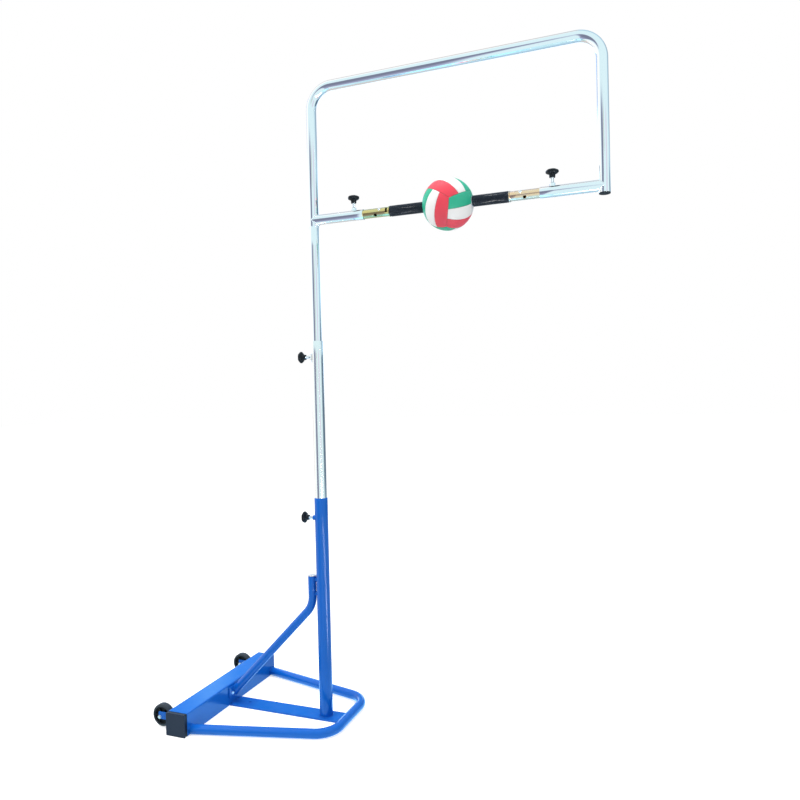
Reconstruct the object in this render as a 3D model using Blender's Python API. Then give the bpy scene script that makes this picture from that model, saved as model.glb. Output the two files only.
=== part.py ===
"""Volleyball spike trainer: a ball between two coil springs in a telescopic frame.

Run with: blender --background --python part.py

Metres, +Z up, +X from the ballast beam towards the frame's free leg.
Every size is measured from the mast axis at floor level, and the whole object
hangs under one empty that puts the middle of its bounding box over the origin.
Each piece is one object, under an empty that stands on its body's joint axis.
"""
import math

import bmesh
import bpy
from mathutils import Matrix, Vector

# Shared values
GAP = 0.0003
MERGE = 1e-6
TUBE_SIDES = 24
FITTING_SIDES = 16
SMALL_SIDES = 12
BENT_TUBE_RESOLUTION = 6
WIRE_RESOLUTION = 1
BEND_STEP = math.radians(13.0)
SMOOTH_ANGLE = math.radians(38.0)
CUT = 0.010
X = Vector((1.0, 0.0, 0.0))
Y = Vector((0.0, 1.0, 0.0))
Z = Vector((0.0, 0.0, 1.0))

# Ballast beam across the back, and its end plugs
BEAM_SIZE = 0.095
BEAM_WALL = 0.004
BEAM_CORNER = 0.005
BEAM_LENGTH = 0.680
BEAM_FRONT = -0.465
BEAM_X = BEAM_FRONT - BEAM_SIZE / 2
BALLAST_SIZE = 0.085
BALLAST_LENGTH = 0.590
BALLAST_EDGE = 0.003
PLUG_FLANGE = 0.005
PLUG_NECK = 0.013
PLUG_INSERT = 0.020
PLUG_CORNER = 0.003
PLUG_SIZE = BEAM_SIZE - 2 * BEAM_WALL - 2 * GAP

# Floor loop of round tube and the flat strip down its middle
LOOP_RADIUS = 0.020
LOOP_WALL = 0.002
LOOP_BACK_HALF = 0.315
LOOP_FRONT_HALF = 0.172
LOOP_FRONT_X = 0.111
LOOP_BEND = 0.100
STRIP_WIDTH = 0.085
STRIP_THICK = 0.008
STRIP_HOLE_X = -0.3885
STRIP_HOLE_Y = 0.005
STRIP_HOLE_RADIUS = 0.0055

# Mast: lower tube, middle tube, and the frame tube that slides in them
LOWER_RADIUS = 0.0285
LOWER_BORE = 0.0260
LOWER_TOP = 0.950
LOWER_CLAMP_Z = 0.8625
MIDDLE_RADIUS = 0.0255
MIDDLE_BORE = 0.0230
MIDDLE_FOOT = 0.620
MIDDLE_TOP = 1.624
MIDDLE_CLAMP_Z = 1.5566
MIDDLE_RIVET_Z = 1.590
MIDDLE_RIVET_TURN = math.radians(52.0)
LINER_LENGTH = 0.040
LINER_BORE = 0.0216
LINER_INSET = 0.0005
FRAME_RADIUS = 0.0212
FRAME_BORE = 0.0192
FRAME_FOOT = 1.360
FRAME_TOP = 2.700
FRAME_SPAN = 1.200
FRAME_BEND = 0.095
LEG_FOOT = 2.112
GLIDE_RIM = 0.006
GLIDE_SPIGOT = 0.012
GLIDE_EYE = 0.012

# Brace from the beam to the mast
BRACE_RADIUS = 0.018
BRACE_WALL = 0.002
BRACE_FOOT_Z = 0.0525
BRACE_X = -0.053
BRACE_KNEE_Z = 0.478
BRACE_TOP = 0.609
BRACE_BEND = 0.100
BRACE_CAP_RADIUS = 0.0190
BRACE_CAP_RIM = 0.0022
BRACE_CAP_DOME = 0.0055
BRACE_CAP_INSERT = 0.014
LUG_HEIGHTS = (0.533, 0.594)
LUG_WIDTH = 0.014
LUG_HEIGHT = 0.011
PLATE_WIDTH = 0.100
PLATE_THICK = 0.005
PLATE_LOW = 0.036
PLATE_HIGH = 0.083
PLATE_BOLT_Y = 0.0265
PLATE_BOLT_Z = 0.0535
PLATE_BOLT_RADIUS = 0.0070
PLATE_BOLT_HEIGHT = 0.0042
PLATE_BOLT_EDGE = 0.0007

# Wheels and their forks behind the beam
WHEEL_X = -0.621
WHEEL_Y = 0.295
WHEEL_Z = 0.0515
WHEEL_RADIUS = 0.0468
WHEEL_HALF = 0.015
TYRE_BORE = 0.0375
TYRE_SHOULDER = 0.0035
TYRE_CHAMFER = 0.0045
HUB_RADIUS = 0.0372
HUB_FACE = 0.002
HUB_RIM_INNER = 0.0330
HUB_WEB_OUTER = 0.0320
HUB_WEB_INNER = 0.0120
HUB_WEB_HALF = 0.005
HUB_BOSS = 0.0110
HUB_RIBS = 6
HUB_RIB_THICK = 0.004
HUB_RIB_INSET = 0.003
HUB_SIDES = 18
HUB_BORE_ROOM = 0.00015
AXLE_RADIUS = 0.0040
AXLE_COLLAR = 0.0070
AXLE_HEAD = 0.0075
AXLE_HEAD_TOP = 0.0068
AXLE_HEAD_HEIGHT = 0.005
FORK_HALF = 0.025
FORK_PLATE = 0.004
FORK_LOW = 0.009
FORK_HIGH = 0.021
FORK_END = 0.0065
FORK_LOW_CORNER = 0.007
FORK_HIGH_CORNER = 0.003
FORK_CORNER_STEPS = 3

# Arms, sleeves, coil springs and ball, all on one line across the frame
ARM_Z = 2.140
ARM_END = 0.235
ARM_KNOB = 0.189
SLEEVE_RADIUS = 0.0189
SLEEVE_BORE = 0.0164
SLEEVE_INNER = 0.165
SLEEVE_OUTER = 0.349
SLEEVE_HOLE = 0.292
SLEEVE_HOLE_SIZE = 0.0085
SLEEVE_HOLE_TURN = math.radians(-40.0)
SLEEVE_RIVET = 0.309
SLEEVE_RIVET_RADIUS = 0.0060
SLEEVE_RIVET_TURN = math.radians(35.0)
SLEEVE_SLOT = 0.3395
SLEEVE_SLOT_WIDTH = 0.0055
SLEEVE_SLOT_LOW = -0.004
ARM_START = 0.008
SEAT_RADIUS = 0.0215
SEAT_FLANGE = 0.004
SEAT_INSERT = 0.012
SEAT_EYE = 0.008
SPRING_RADIUS = 0.0200
WIRE_RADIUS = 0.0020
SPRING_PITCH = 0.0046
CURL_POINTS = 8
SPRING_TURN_IN = 0.0016
SPRING_START_TURN = 0.4
BALL_RADIUS = 0.103
BALL_WALL = 0.004
BALL_FLAT = 0.0990
BALL_RINGS = 14
BALL_INNER_RINGS = 7
WASHER_RADIUS = 0.0205
WASHER_FACE = 0.1010
SPINDLE_RADIUS = 0.005
SPINDLE_HALF = 0.118
NUT_RADIUS = 0.0085
NUT_HEIGHT = 0.008

# Plug in the free leg's open end
LEG_PLUG_INSERT = 0.015
LEG_PLUG_RIM = 0.0028
LEG_PLUG_DEPTH = 0.0035
LEG_PLUG_FACE = 0.0200

# Domed rivet heads, as shares of their radius
RIVET_SINK = 0.002
RIVET_RISE = 0.45
RIVET_SHOULDER = 0.2
RIVET_TOP = 0.6
MIDDLE_RIVET_RADIUS = 0.0036

# Clamp knobs, measured outwards from the tube that they clamp through
KNOB_LOBES = 6
KNOB_POINTS = 24
KNOB_RADIUS = 0.0228
KNOB_LOBE_DEPTH = 0.0014
KNOB_LOW = 0.0445
KNOB_HIGH = 0.0605
KNOB_COLLAR = 0.0305
KNOB_COLLAR_END = 0.0105
KNOB_COLLAR_EDGE = 0.0112
KNOB_COLLAR_CHAMFER = 0.001
KNOB_COLLAR_ROOT = 0.0130
KNOB_COLLAR_SINK = 0.002
KNOB_EDGE = 0.0045
KNOB_COVER = 0.006
BOSS_RADIUS = 0.0108
BOSS_HEIGHT = 0.0098
BOSS_SINK = 0.004
STUD_RADIUS = 0.0058
STUD_BORE = 0.0061
STUD_END_ROOM = 0.008
TIP_LENGTH = 0.0022

# The bounding box runs from the wheels' backs to the free leg's outer side, and
# from the near plug's flange to the beam's far end
MAST_X = -((WHEEL_X - WHEEL_RADIUS) + (FRAME_SPAN + FRAME_RADIUS)) / 2
MAST_Y = (PLUG_NECK + PLUG_FLANGE) / 2

# Colour, roughness and metallic value of each finish
LOOKS = {
    "blue_paint": ((0.012, 0.105, 0.620, 1.0), 0.25, 0.0),
    "zinc": ((0.620, 0.640, 0.660, 1.0), 0.38, 1.0),
    "chrome": ((0.860, 0.870, 0.880, 1.0), 0.08, 1.0),
    "yellow_zinc": ((0.700, 0.560, 0.260, 1.0), 0.30, 1.0),
    "black_plastic": ((0.020, 0.022, 0.026, 1.0), 0.45, 0.0),
    "slate_plastic": ((0.050, 0.060, 0.080, 1.0), 0.50, 0.0),
    "grey_plastic": ((0.560, 0.570, 0.580, 1.0), 0.50, 0.0),
    "rubber": ((0.018, 0.018, 0.020, 1.0), 0.70, 0.0),
    "iron": ((0.110, 0.110, 0.110, 1.0), 0.75, 0.4),
    "spring_black": ((0.016, 0.018, 0.026, 1.0), 0.40, 0.0),
    "ball_white": ((0.850, 0.840, 0.800, 1.0), 0.55, 0.0),
}

# Each body's parent and the point on its joint axis
BALL_CENTRE = (FRAME_SPAN / 2, 0.0, ARM_Z)
BODIES = {
    "base": (None, (0.0, 0.0, 0.0)),
    "wheel_near": ("base", (WHEEL_X, -WHEEL_Y, WHEEL_Z)),
    "wheel_far": ("base", (WHEEL_X, WHEEL_Y, WHEEL_Z)),
    "middle_glide": ("base", (0.0, 0.0, MIDDLE_FOOT)),
    "middle_mast": ("middle_glide", (0.0, 0.0, MIDDLE_FOOT)),
    "frame_glide": ("middle_mast", (0.0, 0.0, FRAME_FOOT)),
    "frame": ("frame_glide", (0.0, 0.0, FRAME_FOOT)),
    "sleeve_glides": ("frame", (0.0, 0.0, ARM_Z)),
    "sleeves": ("sleeve_glides", (0.0, 0.0, ARM_Z)),
    "ball": ("sleeves", BALL_CENTRE),
}
CLAMPS = {
    "lower": ("base", (0.0, 0.0, LOWER_CLAMP_Z), -X, LOWER_RADIUS, MIDDLE_RADIUS),
    "middle": ("middle_mast", (0.0, 0.0, MIDDLE_CLAMP_Z), -X, MIDDLE_RADIUS, FRAME_RADIUS),
    "left": ("frame", (ARM_KNOB, 0.0, ARM_Z), Z, FRAME_RADIUS, SLEEVE_RADIUS),
    "right": ("frame", (FRAME_SPAN - ARM_KNOB, 0.0, ARM_Z), Z, FRAME_RADIUS, SLEEVE_RADIUS),
}
empties = {}


def clear_scene():
    """Remove every object of the scene."""
    for obj in list(bpy.data.objects):
        bpy.data.objects.remove(obj, do_unlink=True)


def add_empty(name, parent, offset):
    """Add an empty at an offset from its parent and return it."""
    empty = bpy.data.objects.new(name, None)
    empty.empty_display_size = 0.05
    empty.location = offset
    empty.parent = parent
    bpy.context.scene.collection.objects.link(empty)
    return empty


def build_bodies():
    """Add the tree of empties, one on each body's joint axis."""
    root = add_empty("spike_trainer", None, (MAST_X, MAST_Y, 0.0))
    for name, (parent, pivot) in BODIES.items():
        start = Vector(BODIES[parent][1]) if parent else Vector()
        above = empties[parent] if parent else root
        empties[name] = add_empty("body_" + name, above, Vector(pivot) - start)
    for name, (parent, pivot, _out, _outer, _inner) in CLAMPS.items():
        BODIES["tip_" + name] = (parent, pivot)
        BODIES["knob_" + name] = ("tip_" + name, pivot)
        offset = Vector(pivot) - Vector(BODIES[parent][1])
        empties["tip_" + name] = add_empty("body_tip_" + name, empties[parent], offset)
        empties["knob_" + name] = add_empty("body_knob_" + name, empties["tip_" + name], (0, 0, 0))


def look_material(name, look):
    """Return a Principled material with one finish's values."""
    colour, roughness, metallic = LOOKS[look]
    material = bpy.data.materials.new(name)
    material.use_nodes = True
    shader = material.node_tree.nodes["Principled BSDF"]
    shader.inputs["Base Color"].default_value = colour
    shader.inputs["Roughness"].default_value = roughness
    shader.inputs["Metallic"].default_value = metallic
    material.diffuse_color = colour
    return material


def node(name, body, bm, look):
    """Turn a bmesh, built from the mast axis, into one named piece of a body."""
    bmesh.ops.translate(bm, verts=bm.verts, vec=-Vector(BODIES[body][1]))
    bmesh.ops.recalc_face_normals(bm, faces=bm.faces)
    mesh = bpy.data.meshes.new(name)
    bm.to_mesh(mesh)
    bm.free()
    mesh.shade_smooth()
    mesh.set_sharp_from_angle(angle=SMOOTH_ANGLE)
    mesh.materials.append(look_material(name, look))
    obj = bpy.data.objects.new(name, mesh)
    obj.parent = empties[body]
    bpy.context.scene.collection.objects.link(obj)


def aim(bm, start, axis):
    """Turn a bmesh that stands on +Z at the origin to an axis through a start point."""
    turn = Z.rotation_difference(Vector(axis)).to_matrix().to_4x4()
    bmesh.ops.transform(bm, matrix=Matrix.Translation(start) @ turn, verts=bm.verts)


def turned(profile, start, axis, steps=TUBE_SIDES):
    """Spin a profile of (along, radius) points about an axis into a closed body."""
    bm = bmesh.new()
    verts = [bm.verts.new((radius, 0.0, along)) for along, radius in profile]
    pairs = list(zip(verts, verts[1:]))
    if profile[0][1] > 0.0:
        pairs.append((verts[-1], verts[0]))
    edges = [bm.edges.new(pair) for pair in pairs]
    full = 2 * math.pi
    bmesh.ops.spin(bm, geom=verts + edges, axis=Z, cent=(0, 0, 0), angle=full, steps=steps)
    bmesh.ops.remove_doubles(bm, verts=bm.verts, dist=MERGE)
    bmesh.ops.recalc_face_normals(bm, faces=bm.faces)
    aim(bm, start, axis)
    return bm


def rod(start, axis, length, radius, steps=TUBE_SIDES):
    """Return a solid round bar."""
    return turned([(0, 0), (0, radius), (length, radius), (length, 0)], start, axis, steps)


def pipe(start, axis, length, radius, bore, steps=TUBE_SIDES):
    """Return a straight round tube, open at both ends."""
    return turned([(0, radius), (length, radius), (length, bore), (0, bore)], start, axis, steps)


def block(size, centre):
    """Return a box."""
    bm = bmesh.new()
    bmesh.ops.create_cube(bm, size=1.0)
    bmesh.ops.scale(bm, vec=Vector(size), verts=bm.verts)
    bmesh.ops.translate(bm, vec=Vector(centre), verts=bm.verts)
    return bm


def prism(outline, depth):
    """Return a closed outline extruded along a depth vector."""
    bm = bmesh.new()
    face = bm.faces.new([bm.verts.new(point) for point in outline])
    grown = bmesh.ops.extrude_face_region(bm, geom=[face])["geom"]
    tops = [item for item in grown if isinstance(item, bmesh.types.BMVert)]
    bmesh.ops.translate(bm, vec=Vector(depth), verts=tops)
    bmesh.ops.recalc_face_normals(bm, faces=bm.faces)
    return bm


def temporary(bm):
    """Return an unnamed object that holds a bmesh for a Boolean."""
    mesh = bpy.data.meshes.new("tool")
    bm.to_mesh(mesh)
    bm.free()
    obj = bpy.data.objects.new("tool", mesh)
    bpy.context.scene.collection.objects.link(obj)
    return obj


def read_and_remove(obj, others=()):
    """Return an object's evaluated mesh as a bmesh and remove the objects."""
    depsgraph = bpy.context.evaluated_depsgraph_get()
    mesh = bpy.data.meshes.new_from_object(obj.evaluated_get(depsgraph))
    bm = bmesh.new()
    bm.from_mesh(mesh)
    bpy.data.meshes.remove(mesh)
    for item in (obj, *others):
        bpy.data.objects.remove(item, do_unlink=True)
    return bm


def combine(bm, tool, operation="DIFFERENCE"):
    """Cut one bmesh with another, or unite them, with the exact solver."""
    target = temporary(bm)
    cutter = temporary(tool)
    modifier = target.modifiers.new("combine", "BOOLEAN")
    modifier.object = cutter
    modifier.operation = operation
    modifier.solver = "EXACT"
    return read_and_remove(target, (cutter,))


def swept(points, radius, resolution):
    """Return a round bar along a line of points, from a curve with a bevel."""
    curve = bpy.data.curves.new("path", "CURVE")
    curve.dimensions = "3D"
    curve.bevel_depth = radius
    curve.bevel_resolution = resolution
    curve.use_fill_caps = True
    spline = curve.splines.new("POLY")
    spline.points.add(len(points) - 1)
    for slot, point in zip(spline.points, points):
        slot.co = (point[0], point[1], point[2], 1.0)
    holder = bpy.data.objects.new("path", curve)
    bpy.context.scene.collection.objects.link(holder)
    bm = read_and_remove(holder)
    bmesh.ops.remove_doubles(bm, verts=bm.verts, dist=MERGE)
    bmesh.ops.recalc_face_normals(bm, faces=bm.faces)
    return bm


def rounded_path(corners, radius):
    """Return the corners' line with each inner corner rounded to a bend radius."""
    corners = [Vector(corner) for corner in corners]
    points = [corners[0]]
    for before, corner, after in zip(corners, corners[1:], corners[2:]):
        into = (corner - before).normalized()
        out = (after - corner).normalized()
        turn = into.angle(out)
        reach = radius * math.tan(turn / 2)
        normal = (out - into * into.dot(out)).normalized()
        centre = corner - into * reach + normal * radius
        steps = max(2, round(turn / BEND_STEP))
        for step in range(steps + 1):
            angle = turn * step / steps
            spoke = -normal * math.cos(angle) + into * math.sin(angle)
            points.append(centre + spoke * radius)
    points.append(corners[-1])
    return points


def bent_pipe(points, radius, bore, resolution):
    """Return a bent round tube, open at both ends."""
    inner = list(points)
    inner[0] = points[0] - (points[1] - points[0]).normalized() * radius
    inner[-1] = points[-1] + (points[-1] - points[-2]).normalized() * radius
    return combine(swept(points, radius, resolution), swept(inner, bore, resolution))


def rounded_square(size, corner, steps=3):
    """Return the (x, z) points of a square with round corners, on its centre."""
    inner = size / 2 - corner
    points = []
    for quarter, (sx, sz) in enumerate(((1, 1), (-1, 1), (-1, -1), (1, -1))):
        for step in range(steps + 1):
            angle = math.pi / 2 * (quarter + step / steps)
            x = sx * inner + corner * math.cos(angle)
            z = sz * inner + corner * math.sin(angle)
            points.append((x, z))
    return points


def square_bar(size, corner, start, length):
    """Return a square bar with round long edges, along +Y from a start point."""
    outline = [(start[0] + x, start[1], start[2] + z) for x, z in rounded_square(size, corner)]
    return prism(outline, (0, length, 0))


def build_beam():
    """Ballast beam, the iron bar inside it and the two end plugs."""
    middle = BEAM_SIZE / 2
    half = BEAM_LENGTH / 2
    beam = square_bar(BEAM_SIZE, BEAM_CORNER, (BEAM_X, -half, middle), BEAM_LENGTH)
    bore_size = BEAM_SIZE - 2 * BEAM_WALL
    bore = square_bar(bore_size, BEAM_CORNER - BEAM_WALL / 2, (BEAM_X, -half - CUT, middle),
                      BEAM_LENGTH + 2 * CUT)
    node("ballast_beam", "base", combine(beam, bore), "blue_paint")
    size = (BALLAST_SIZE, BALLAST_LENGTH, BALLAST_SIZE)
    lift = BEAM_WALL + GAP + BALLAST_SIZE / 2
    bar = block(size, (BEAM_X, 0, lift))
    bmesh.ops.bevel(bar, geom=list(bar.edges), offset=BALLAST_EDGE, segments=1, affect="EDGES")
    node("ballast_bar", "base", bar, "iron")
    outer = half + PLUG_NECK
    neck = PLUG_INSERT + PLUG_NECK + PLUG_FLANGE / 2
    start_y = -outer - PLUG_FLANGE / 2
    insert = square_bar(PLUG_SIZE, PLUG_CORNER, (BEAM_X, start_y, middle), neck)
    flange = square_bar(BEAM_SIZE, PLUG_CORNER, (BEAM_X, -outer - PLUG_FLANGE, middle), PLUG_FLANGE)
    node("end_plug_near", "base", combine(insert, flange, "UNION"), "slate_plastic")
    start_y = half - PLUG_INSERT
    flush = square_bar(PLUG_SIZE, PLUG_CORNER, (BEAM_X, start_y, middle), PLUG_INSERT - GAP)
    node("end_plug_far", "base", flush, "slate_plastic")


def build_floor_frame():
    """Round loop on the floor and the flat strip down its middle."""
    run = LOOP_FRONT_X - BEAM_FRONT
    slope = (LOOP_BACK_HALF - LOOP_FRONT_HALF) / run
    back_x = BEAM_FRONT - LOOP_RADIUS
    back_half = LOOP_BACK_HALF + slope * LOOP_RADIUS
    corners = [
        (back_x, -back_half, LOOP_RADIUS),
        (LOOP_FRONT_X, -LOOP_FRONT_HALF, LOOP_RADIUS),
        (LOOP_FRONT_X, LOOP_FRONT_HALF, LOOP_RADIUS),
        (back_x, back_half, LOOP_RADIUS),
    ]
    path = rounded_path(corners, LOOP_BEND)
    loop = bent_pipe(path, LOOP_RADIUS, LOOP_RADIUS - LOOP_WALL, BENT_TUBE_RESOLUTION)
    beam_room = block((BEAM_SIZE, BEAM_LENGTH, BEAM_SIZE), (BEAM_X + GAP, 0, 0))
    node("floor_loop", "base", combine(loop, beam_room), "blue_paint")
    drop = LOOP_RADIUS - STRIP_THICK
    strip_end = LOOP_FRONT_X - math.sqrt(LOOP_RADIUS ** 2 - drop ** 2) - GAP
    start = BEAM_FRONT + GAP
    centre = ((start + strip_end) / 2, 0, STRIP_THICK / 2)
    strip = block((strip_end - start, STRIP_WIDTH, STRIP_THICK), centre)
    low = (STRIP_HOLE_X, STRIP_HOLE_Y, -CUT)
    hole = rod(low, Z, STRIP_THICK + 2 * CUT, STRIP_HOLE_RADIUS, SMALL_SIDES)
    node("centre_strip", "base", combine(strip, hole), "blue_paint")


def build_lower_mast():
    """Welded lower mast tube with the hole that its clamp works through."""
    foot = STRIP_THICK + GAP
    tube = pipe((0, 0, foot), Z, LOWER_TOP - foot, LOWER_RADIUS, LOWER_BORE)
    hole = rod((0, 0, LOWER_CLAMP_Z), -X, LOWER_RADIUS + CUT, STUD_BORE, SMALL_SIDES)
    node("lower_mast", "base", combine(tube, hole), "blue_paint")


def build_brace():
    """Brace tube, its cap, the two lugs to the mast and the foot plate with its bolts."""
    foot = Vector((BEAM_FRONT, 0, BRACE_FOOT_Z))
    knee = Vector((BRACE_X, 0, BRACE_KNEE_Z))
    start = foot - (knee - foot).normalized() * 2 * BRACE_RADIUS
    path = rounded_path([start, knee, (BRACE_X, 0, BRACE_TOP)], BRACE_BEND)
    tube = bent_pipe(path, BRACE_RADIUS, BRACE_RADIUS - BRACE_WALL, BENT_TUBE_RESOLUTION)
    plate_face = BEAM_FRONT + GAP + PLATE_THICK
    beam_room = block((BEAM_SIZE, BEAM_SIZE, 2 * BEAM_SIZE), (plate_face + GAP - BEAM_SIZE / 2, 0, 0))
    tube = combine(tube, beam_room)
    strip_room = block((BEAM_SIZE, BEAM_SIZE, 2 * PLATE_LOW), (plate_face, 0, 0))
    node("brace_tube", "base", combine(tube, strip_room), "blue_paint")

    bore = BRACE_RADIUS - BRACE_WALL - GAP
    cap = [(-BRACE_CAP_INSERT, 0.0), (-BRACE_CAP_INSERT, bore), (GAP, bore),
           (GAP, BRACE_CAP_RADIUS), (BRACE_CAP_RIM, BRACE_CAP_RADIUS)]
    for angle in (math.radians(30.0), math.radians(60.0)):
        rise = BRACE_CAP_RIM + (BRACE_CAP_DOME - BRACE_CAP_RIM) * math.sin(angle)
        cap.append((rise, BRACE_CAP_RADIUS * math.cos(angle)))
    cap.append((BRACE_CAP_DOME, 0.0))
    node("brace_cap", "base", turned(cap, (BRACE_X, 0, BRACE_TOP), Z, FITTING_SIDES), "grey_plastic")

    for name, height in zip(("low", "high"), LUG_HEIGHTS):
        lug = block((abs(BRACE_X), LUG_WIDTH, LUG_HEIGHT), (BRACE_X / 2, 0, height))
        low = (0, 0, height - LUG_HEIGHT)
        lug = combine(lug, rod(low, Z, 2 * LUG_HEIGHT, LOWER_RADIUS + GAP))
        low = (BRACE_X, 0, height - LUG_HEIGHT)
        lug = combine(lug, rod(low, Z, 2 * LUG_HEIGHT, BRACE_RADIUS + GAP))
        node("brace_lug_" + name, "base", lug, "blue_paint")

    height = PLATE_HIGH - PLATE_LOW
    centre = (BEAM_FRONT + GAP + PLATE_THICK / 2, 0, (PLATE_LOW + PLATE_HIGH) / 2)
    node("brace_plate", "base", block((PLATE_THICK, PLATE_WIDTH, height), centre), "blue_paint")
    inner = PLATE_BOLT_RADIUS - PLATE_BOLT_EDGE
    shoulder = PLATE_BOLT_HEIGHT - PLATE_BOLT_EDGE
    bolt = [(0, 0), (0, PLATE_BOLT_RADIUS), (shoulder, PLATE_BOLT_RADIUS), (PLATE_BOLT_HEIGHT, inner),
            (PLATE_BOLT_HEIGHT, 0)]
    for side, name in ((-1, "near"), (1, "far")):
        start = (plate_face + GAP, side * PLATE_BOLT_Y, PLATE_BOLT_Z)
        node("plate_bolt_" + name, "base", turned(bolt, start, X, SMALL_SIDES), "zinc")


def fork_side():
    """Return the (x, z) outline of a fork seen from its side, round at its free end."""
    back = BEAM_X - BEAM_SIZE / 2 - GAP
    end = WHEEL_X - FORK_END
    low = WHEEL_Z - FORK_LOW
    high = WHEEL_Z + FORK_HIGH
    outline = [(back, low), (back, high)]
    corners = (
        (FORK_HIGH_CORNER, high - FORK_HIGH_CORNER, math.pi / 2),
        (FORK_LOW_CORNER, low + FORK_LOW_CORNER, math.pi),
    )
    for radius, height, first in corners:
        for step in range(FORK_CORNER_STEPS + 1):
            angle = first + math.pi / 2 * step / FORK_CORNER_STEPS
            outline.append((end + radius + radius * math.cos(angle), height + radius * math.sin(angle)))
    return outline


def fork_body(side_y):
    """Return a U of flat plate round a wheel, open to the back."""
    near = side_y - FORK_HALF
    fork = prism([(x, near, z) for x, z in fork_side()], (0, 2 * FORK_HALF, 0))
    reach = FORK_END - WHEEL_X - (BEAM_SIZE / 2 - BEAM_X) - GAP
    wheel_room = block((2 * reach, 2 * (FORK_HALF - FORK_PLATE), BEAM_SIZE),
                       (BEAM_X - BEAM_SIZE / 2 - GAP - FORK_PLATE - reach, side_y, WHEEL_Z))
    fork = combine(fork, wheel_room)
    start = (WHEEL_X, near - CUT, WHEEL_Z)
    return combine(fork, rod(start, Y, 2 * (FORK_HALF + CUT), AXLE_RADIUS + GAP, SMALL_SIDES))


def hub_body(centre):
    """Return a ribbed wheel hub round the axle."""
    half_profile = [
        (HUB_WEB_HALF, HUB_WEB_INNER), (HUB_WEB_HALF, HUB_WEB_OUTER),
        (WHEEL_HALF - HUB_FACE, HUB_RIM_INNER), (WHEEL_HALF - HUB_FACE, HUB_RADIUS),
    ]
    bore = AXLE_RADIUS + HUB_BORE_ROOM
    profile = [(-WHEEL_HALF, bore), (-WHEEL_HALF, HUB_BOSS)]
    profile += [(-along, radius) for along, radius in half_profile]
    profile += list(reversed(half_profile)) + [(WHEEL_HALF, HUB_BOSS), (WHEEL_HALF, bore)]
    start = Vector(centre)
    hub = turned(profile, start, Y, HUB_SIDES)
    ribs = bmesh.new()
    first = (HUB_BOSS + bore) / 2
    last = (HUB_RIM_INNER + HUB_RADIUS) / 2
    for index in range(HUB_RIBS):
        size = (last - first, 2 * (WHEEL_HALF - HUB_RIB_INSET), HUB_RIB_THICK)
        rib = block(size, ((first + last) / 2, 0, 0))
        mesh = bpy.data.meshes.new("rib")
        turn = Matrix.Rotation(2 * math.pi * index / HUB_RIBS, 4, "Y")
        rib.transform(Matrix.Translation(start) @ turn)
        rib.to_mesh(mesh)
        rib.free()
        ribs.from_mesh(mesh)
        bpy.data.meshes.remove(mesh)
    return combine(hub, ribs, "UNION")


def build_wheels():
    """Two forks on the back of the beam, each with an axle, a hub and a tyre."""
    half = WHEEL_HALF
    tread = half - TYRE_CHAMFER
    shoulder = WHEEL_RADIUS - TYRE_SHOULDER
    tyre = [(-half, TYRE_BORE), (-half, shoulder), (-tread, WHEEL_RADIUS), (tread, WHEEL_RADIUS),
            (half, shoulder), (half, TYRE_BORE)]
    inner = half + GAP
    collar = FORK_HALF - FORK_PLATE - GAP
    head = FORK_HALF + GAP
    end = head + AXLE_HEAD_HEIGHT
    side = [(inner, AXLE_RADIUS), (inner, AXLE_COLLAR), (collar, AXLE_COLLAR), (collar, AXLE_RADIUS),
            (head, AXLE_RADIUS), (head, AXLE_HEAD), (end, AXLE_HEAD_TOP), (end, 0)]
    axle = [(-along, radius) for along, radius in reversed(side)] + side
    for side, name in ((-1, "near"), (1, "far")):
        centre = (WHEEL_X, side * WHEEL_Y, WHEEL_Z)
        node("fork_" + name, "base", fork_body(side * WHEEL_Y), "blue_paint")
        node("axle_" + name, "base", turned(axle, centre, Y, SMALL_SIDES), "zinc")
        node("hub_" + name, "wheel_" + name, hub_body(centre), "black_plastic")
        node("tyre_" + name, "wheel_" + name, turned(tyre, centre, Y), "rubber")


def glide(start, axis, rim_radius, spigot_radius):
    """Return a nylon ring below a tube's end with a spigot inside the tube."""
    profile = [(-GLIDE_RIM, GLIDE_EYE), (-GLIDE_RIM, rim_radius), (-GAP, rim_radius),
               (-GAP, spigot_radius), (GLIDE_SPIGOT, spigot_radius), (GLIDE_SPIGOT, GLIDE_EYE)]
    return turned(profile, start, axis, FITTING_SIDES)


def build_middle_mast():
    """Middle mast tube with its liner, rivet and nylon foot."""
    foot = (0, 0, MIDDLE_FOOT)
    ring = glide(foot, Z, MIDDLE_RADIUS, MIDDLE_BORE - GAP)
    node("middle_glide_ring", "middle_glide", ring, "black_plastic")
    tube = pipe(foot, Z, MIDDLE_TOP - MIDDLE_FOOT, MIDDLE_RADIUS, MIDDLE_BORE)
    hole = rod((0, 0, MIDDLE_CLAMP_Z), -X, MIDDLE_RADIUS + CUT, STUD_BORE, SMALL_SIDES)
    node("middle_tube", "middle_mast", combine(tube, hole), "zinc")
    low = (0, 0, MIDDLE_TOP - LINER_LENGTH - LINER_INSET)
    liner = pipe(low, Z, LINER_LENGTH, MIDDLE_BORE - GAP, LINER_BORE)
    node("middle_liner", "middle_mast", liner, "black_plastic")
    out = Vector((math.sin(MIDDLE_RIVET_TURN), -math.cos(MIDDLE_RIVET_TURN), 0))
    rivet = dome_rivet((0, 0, MIDDLE_RIVET_Z), out, Z, MIDDLE_RADIUS, MIDDLE_RIVET_RADIUS)
    node("middle_rivet", "middle_mast", rivet, "zinc")


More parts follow.
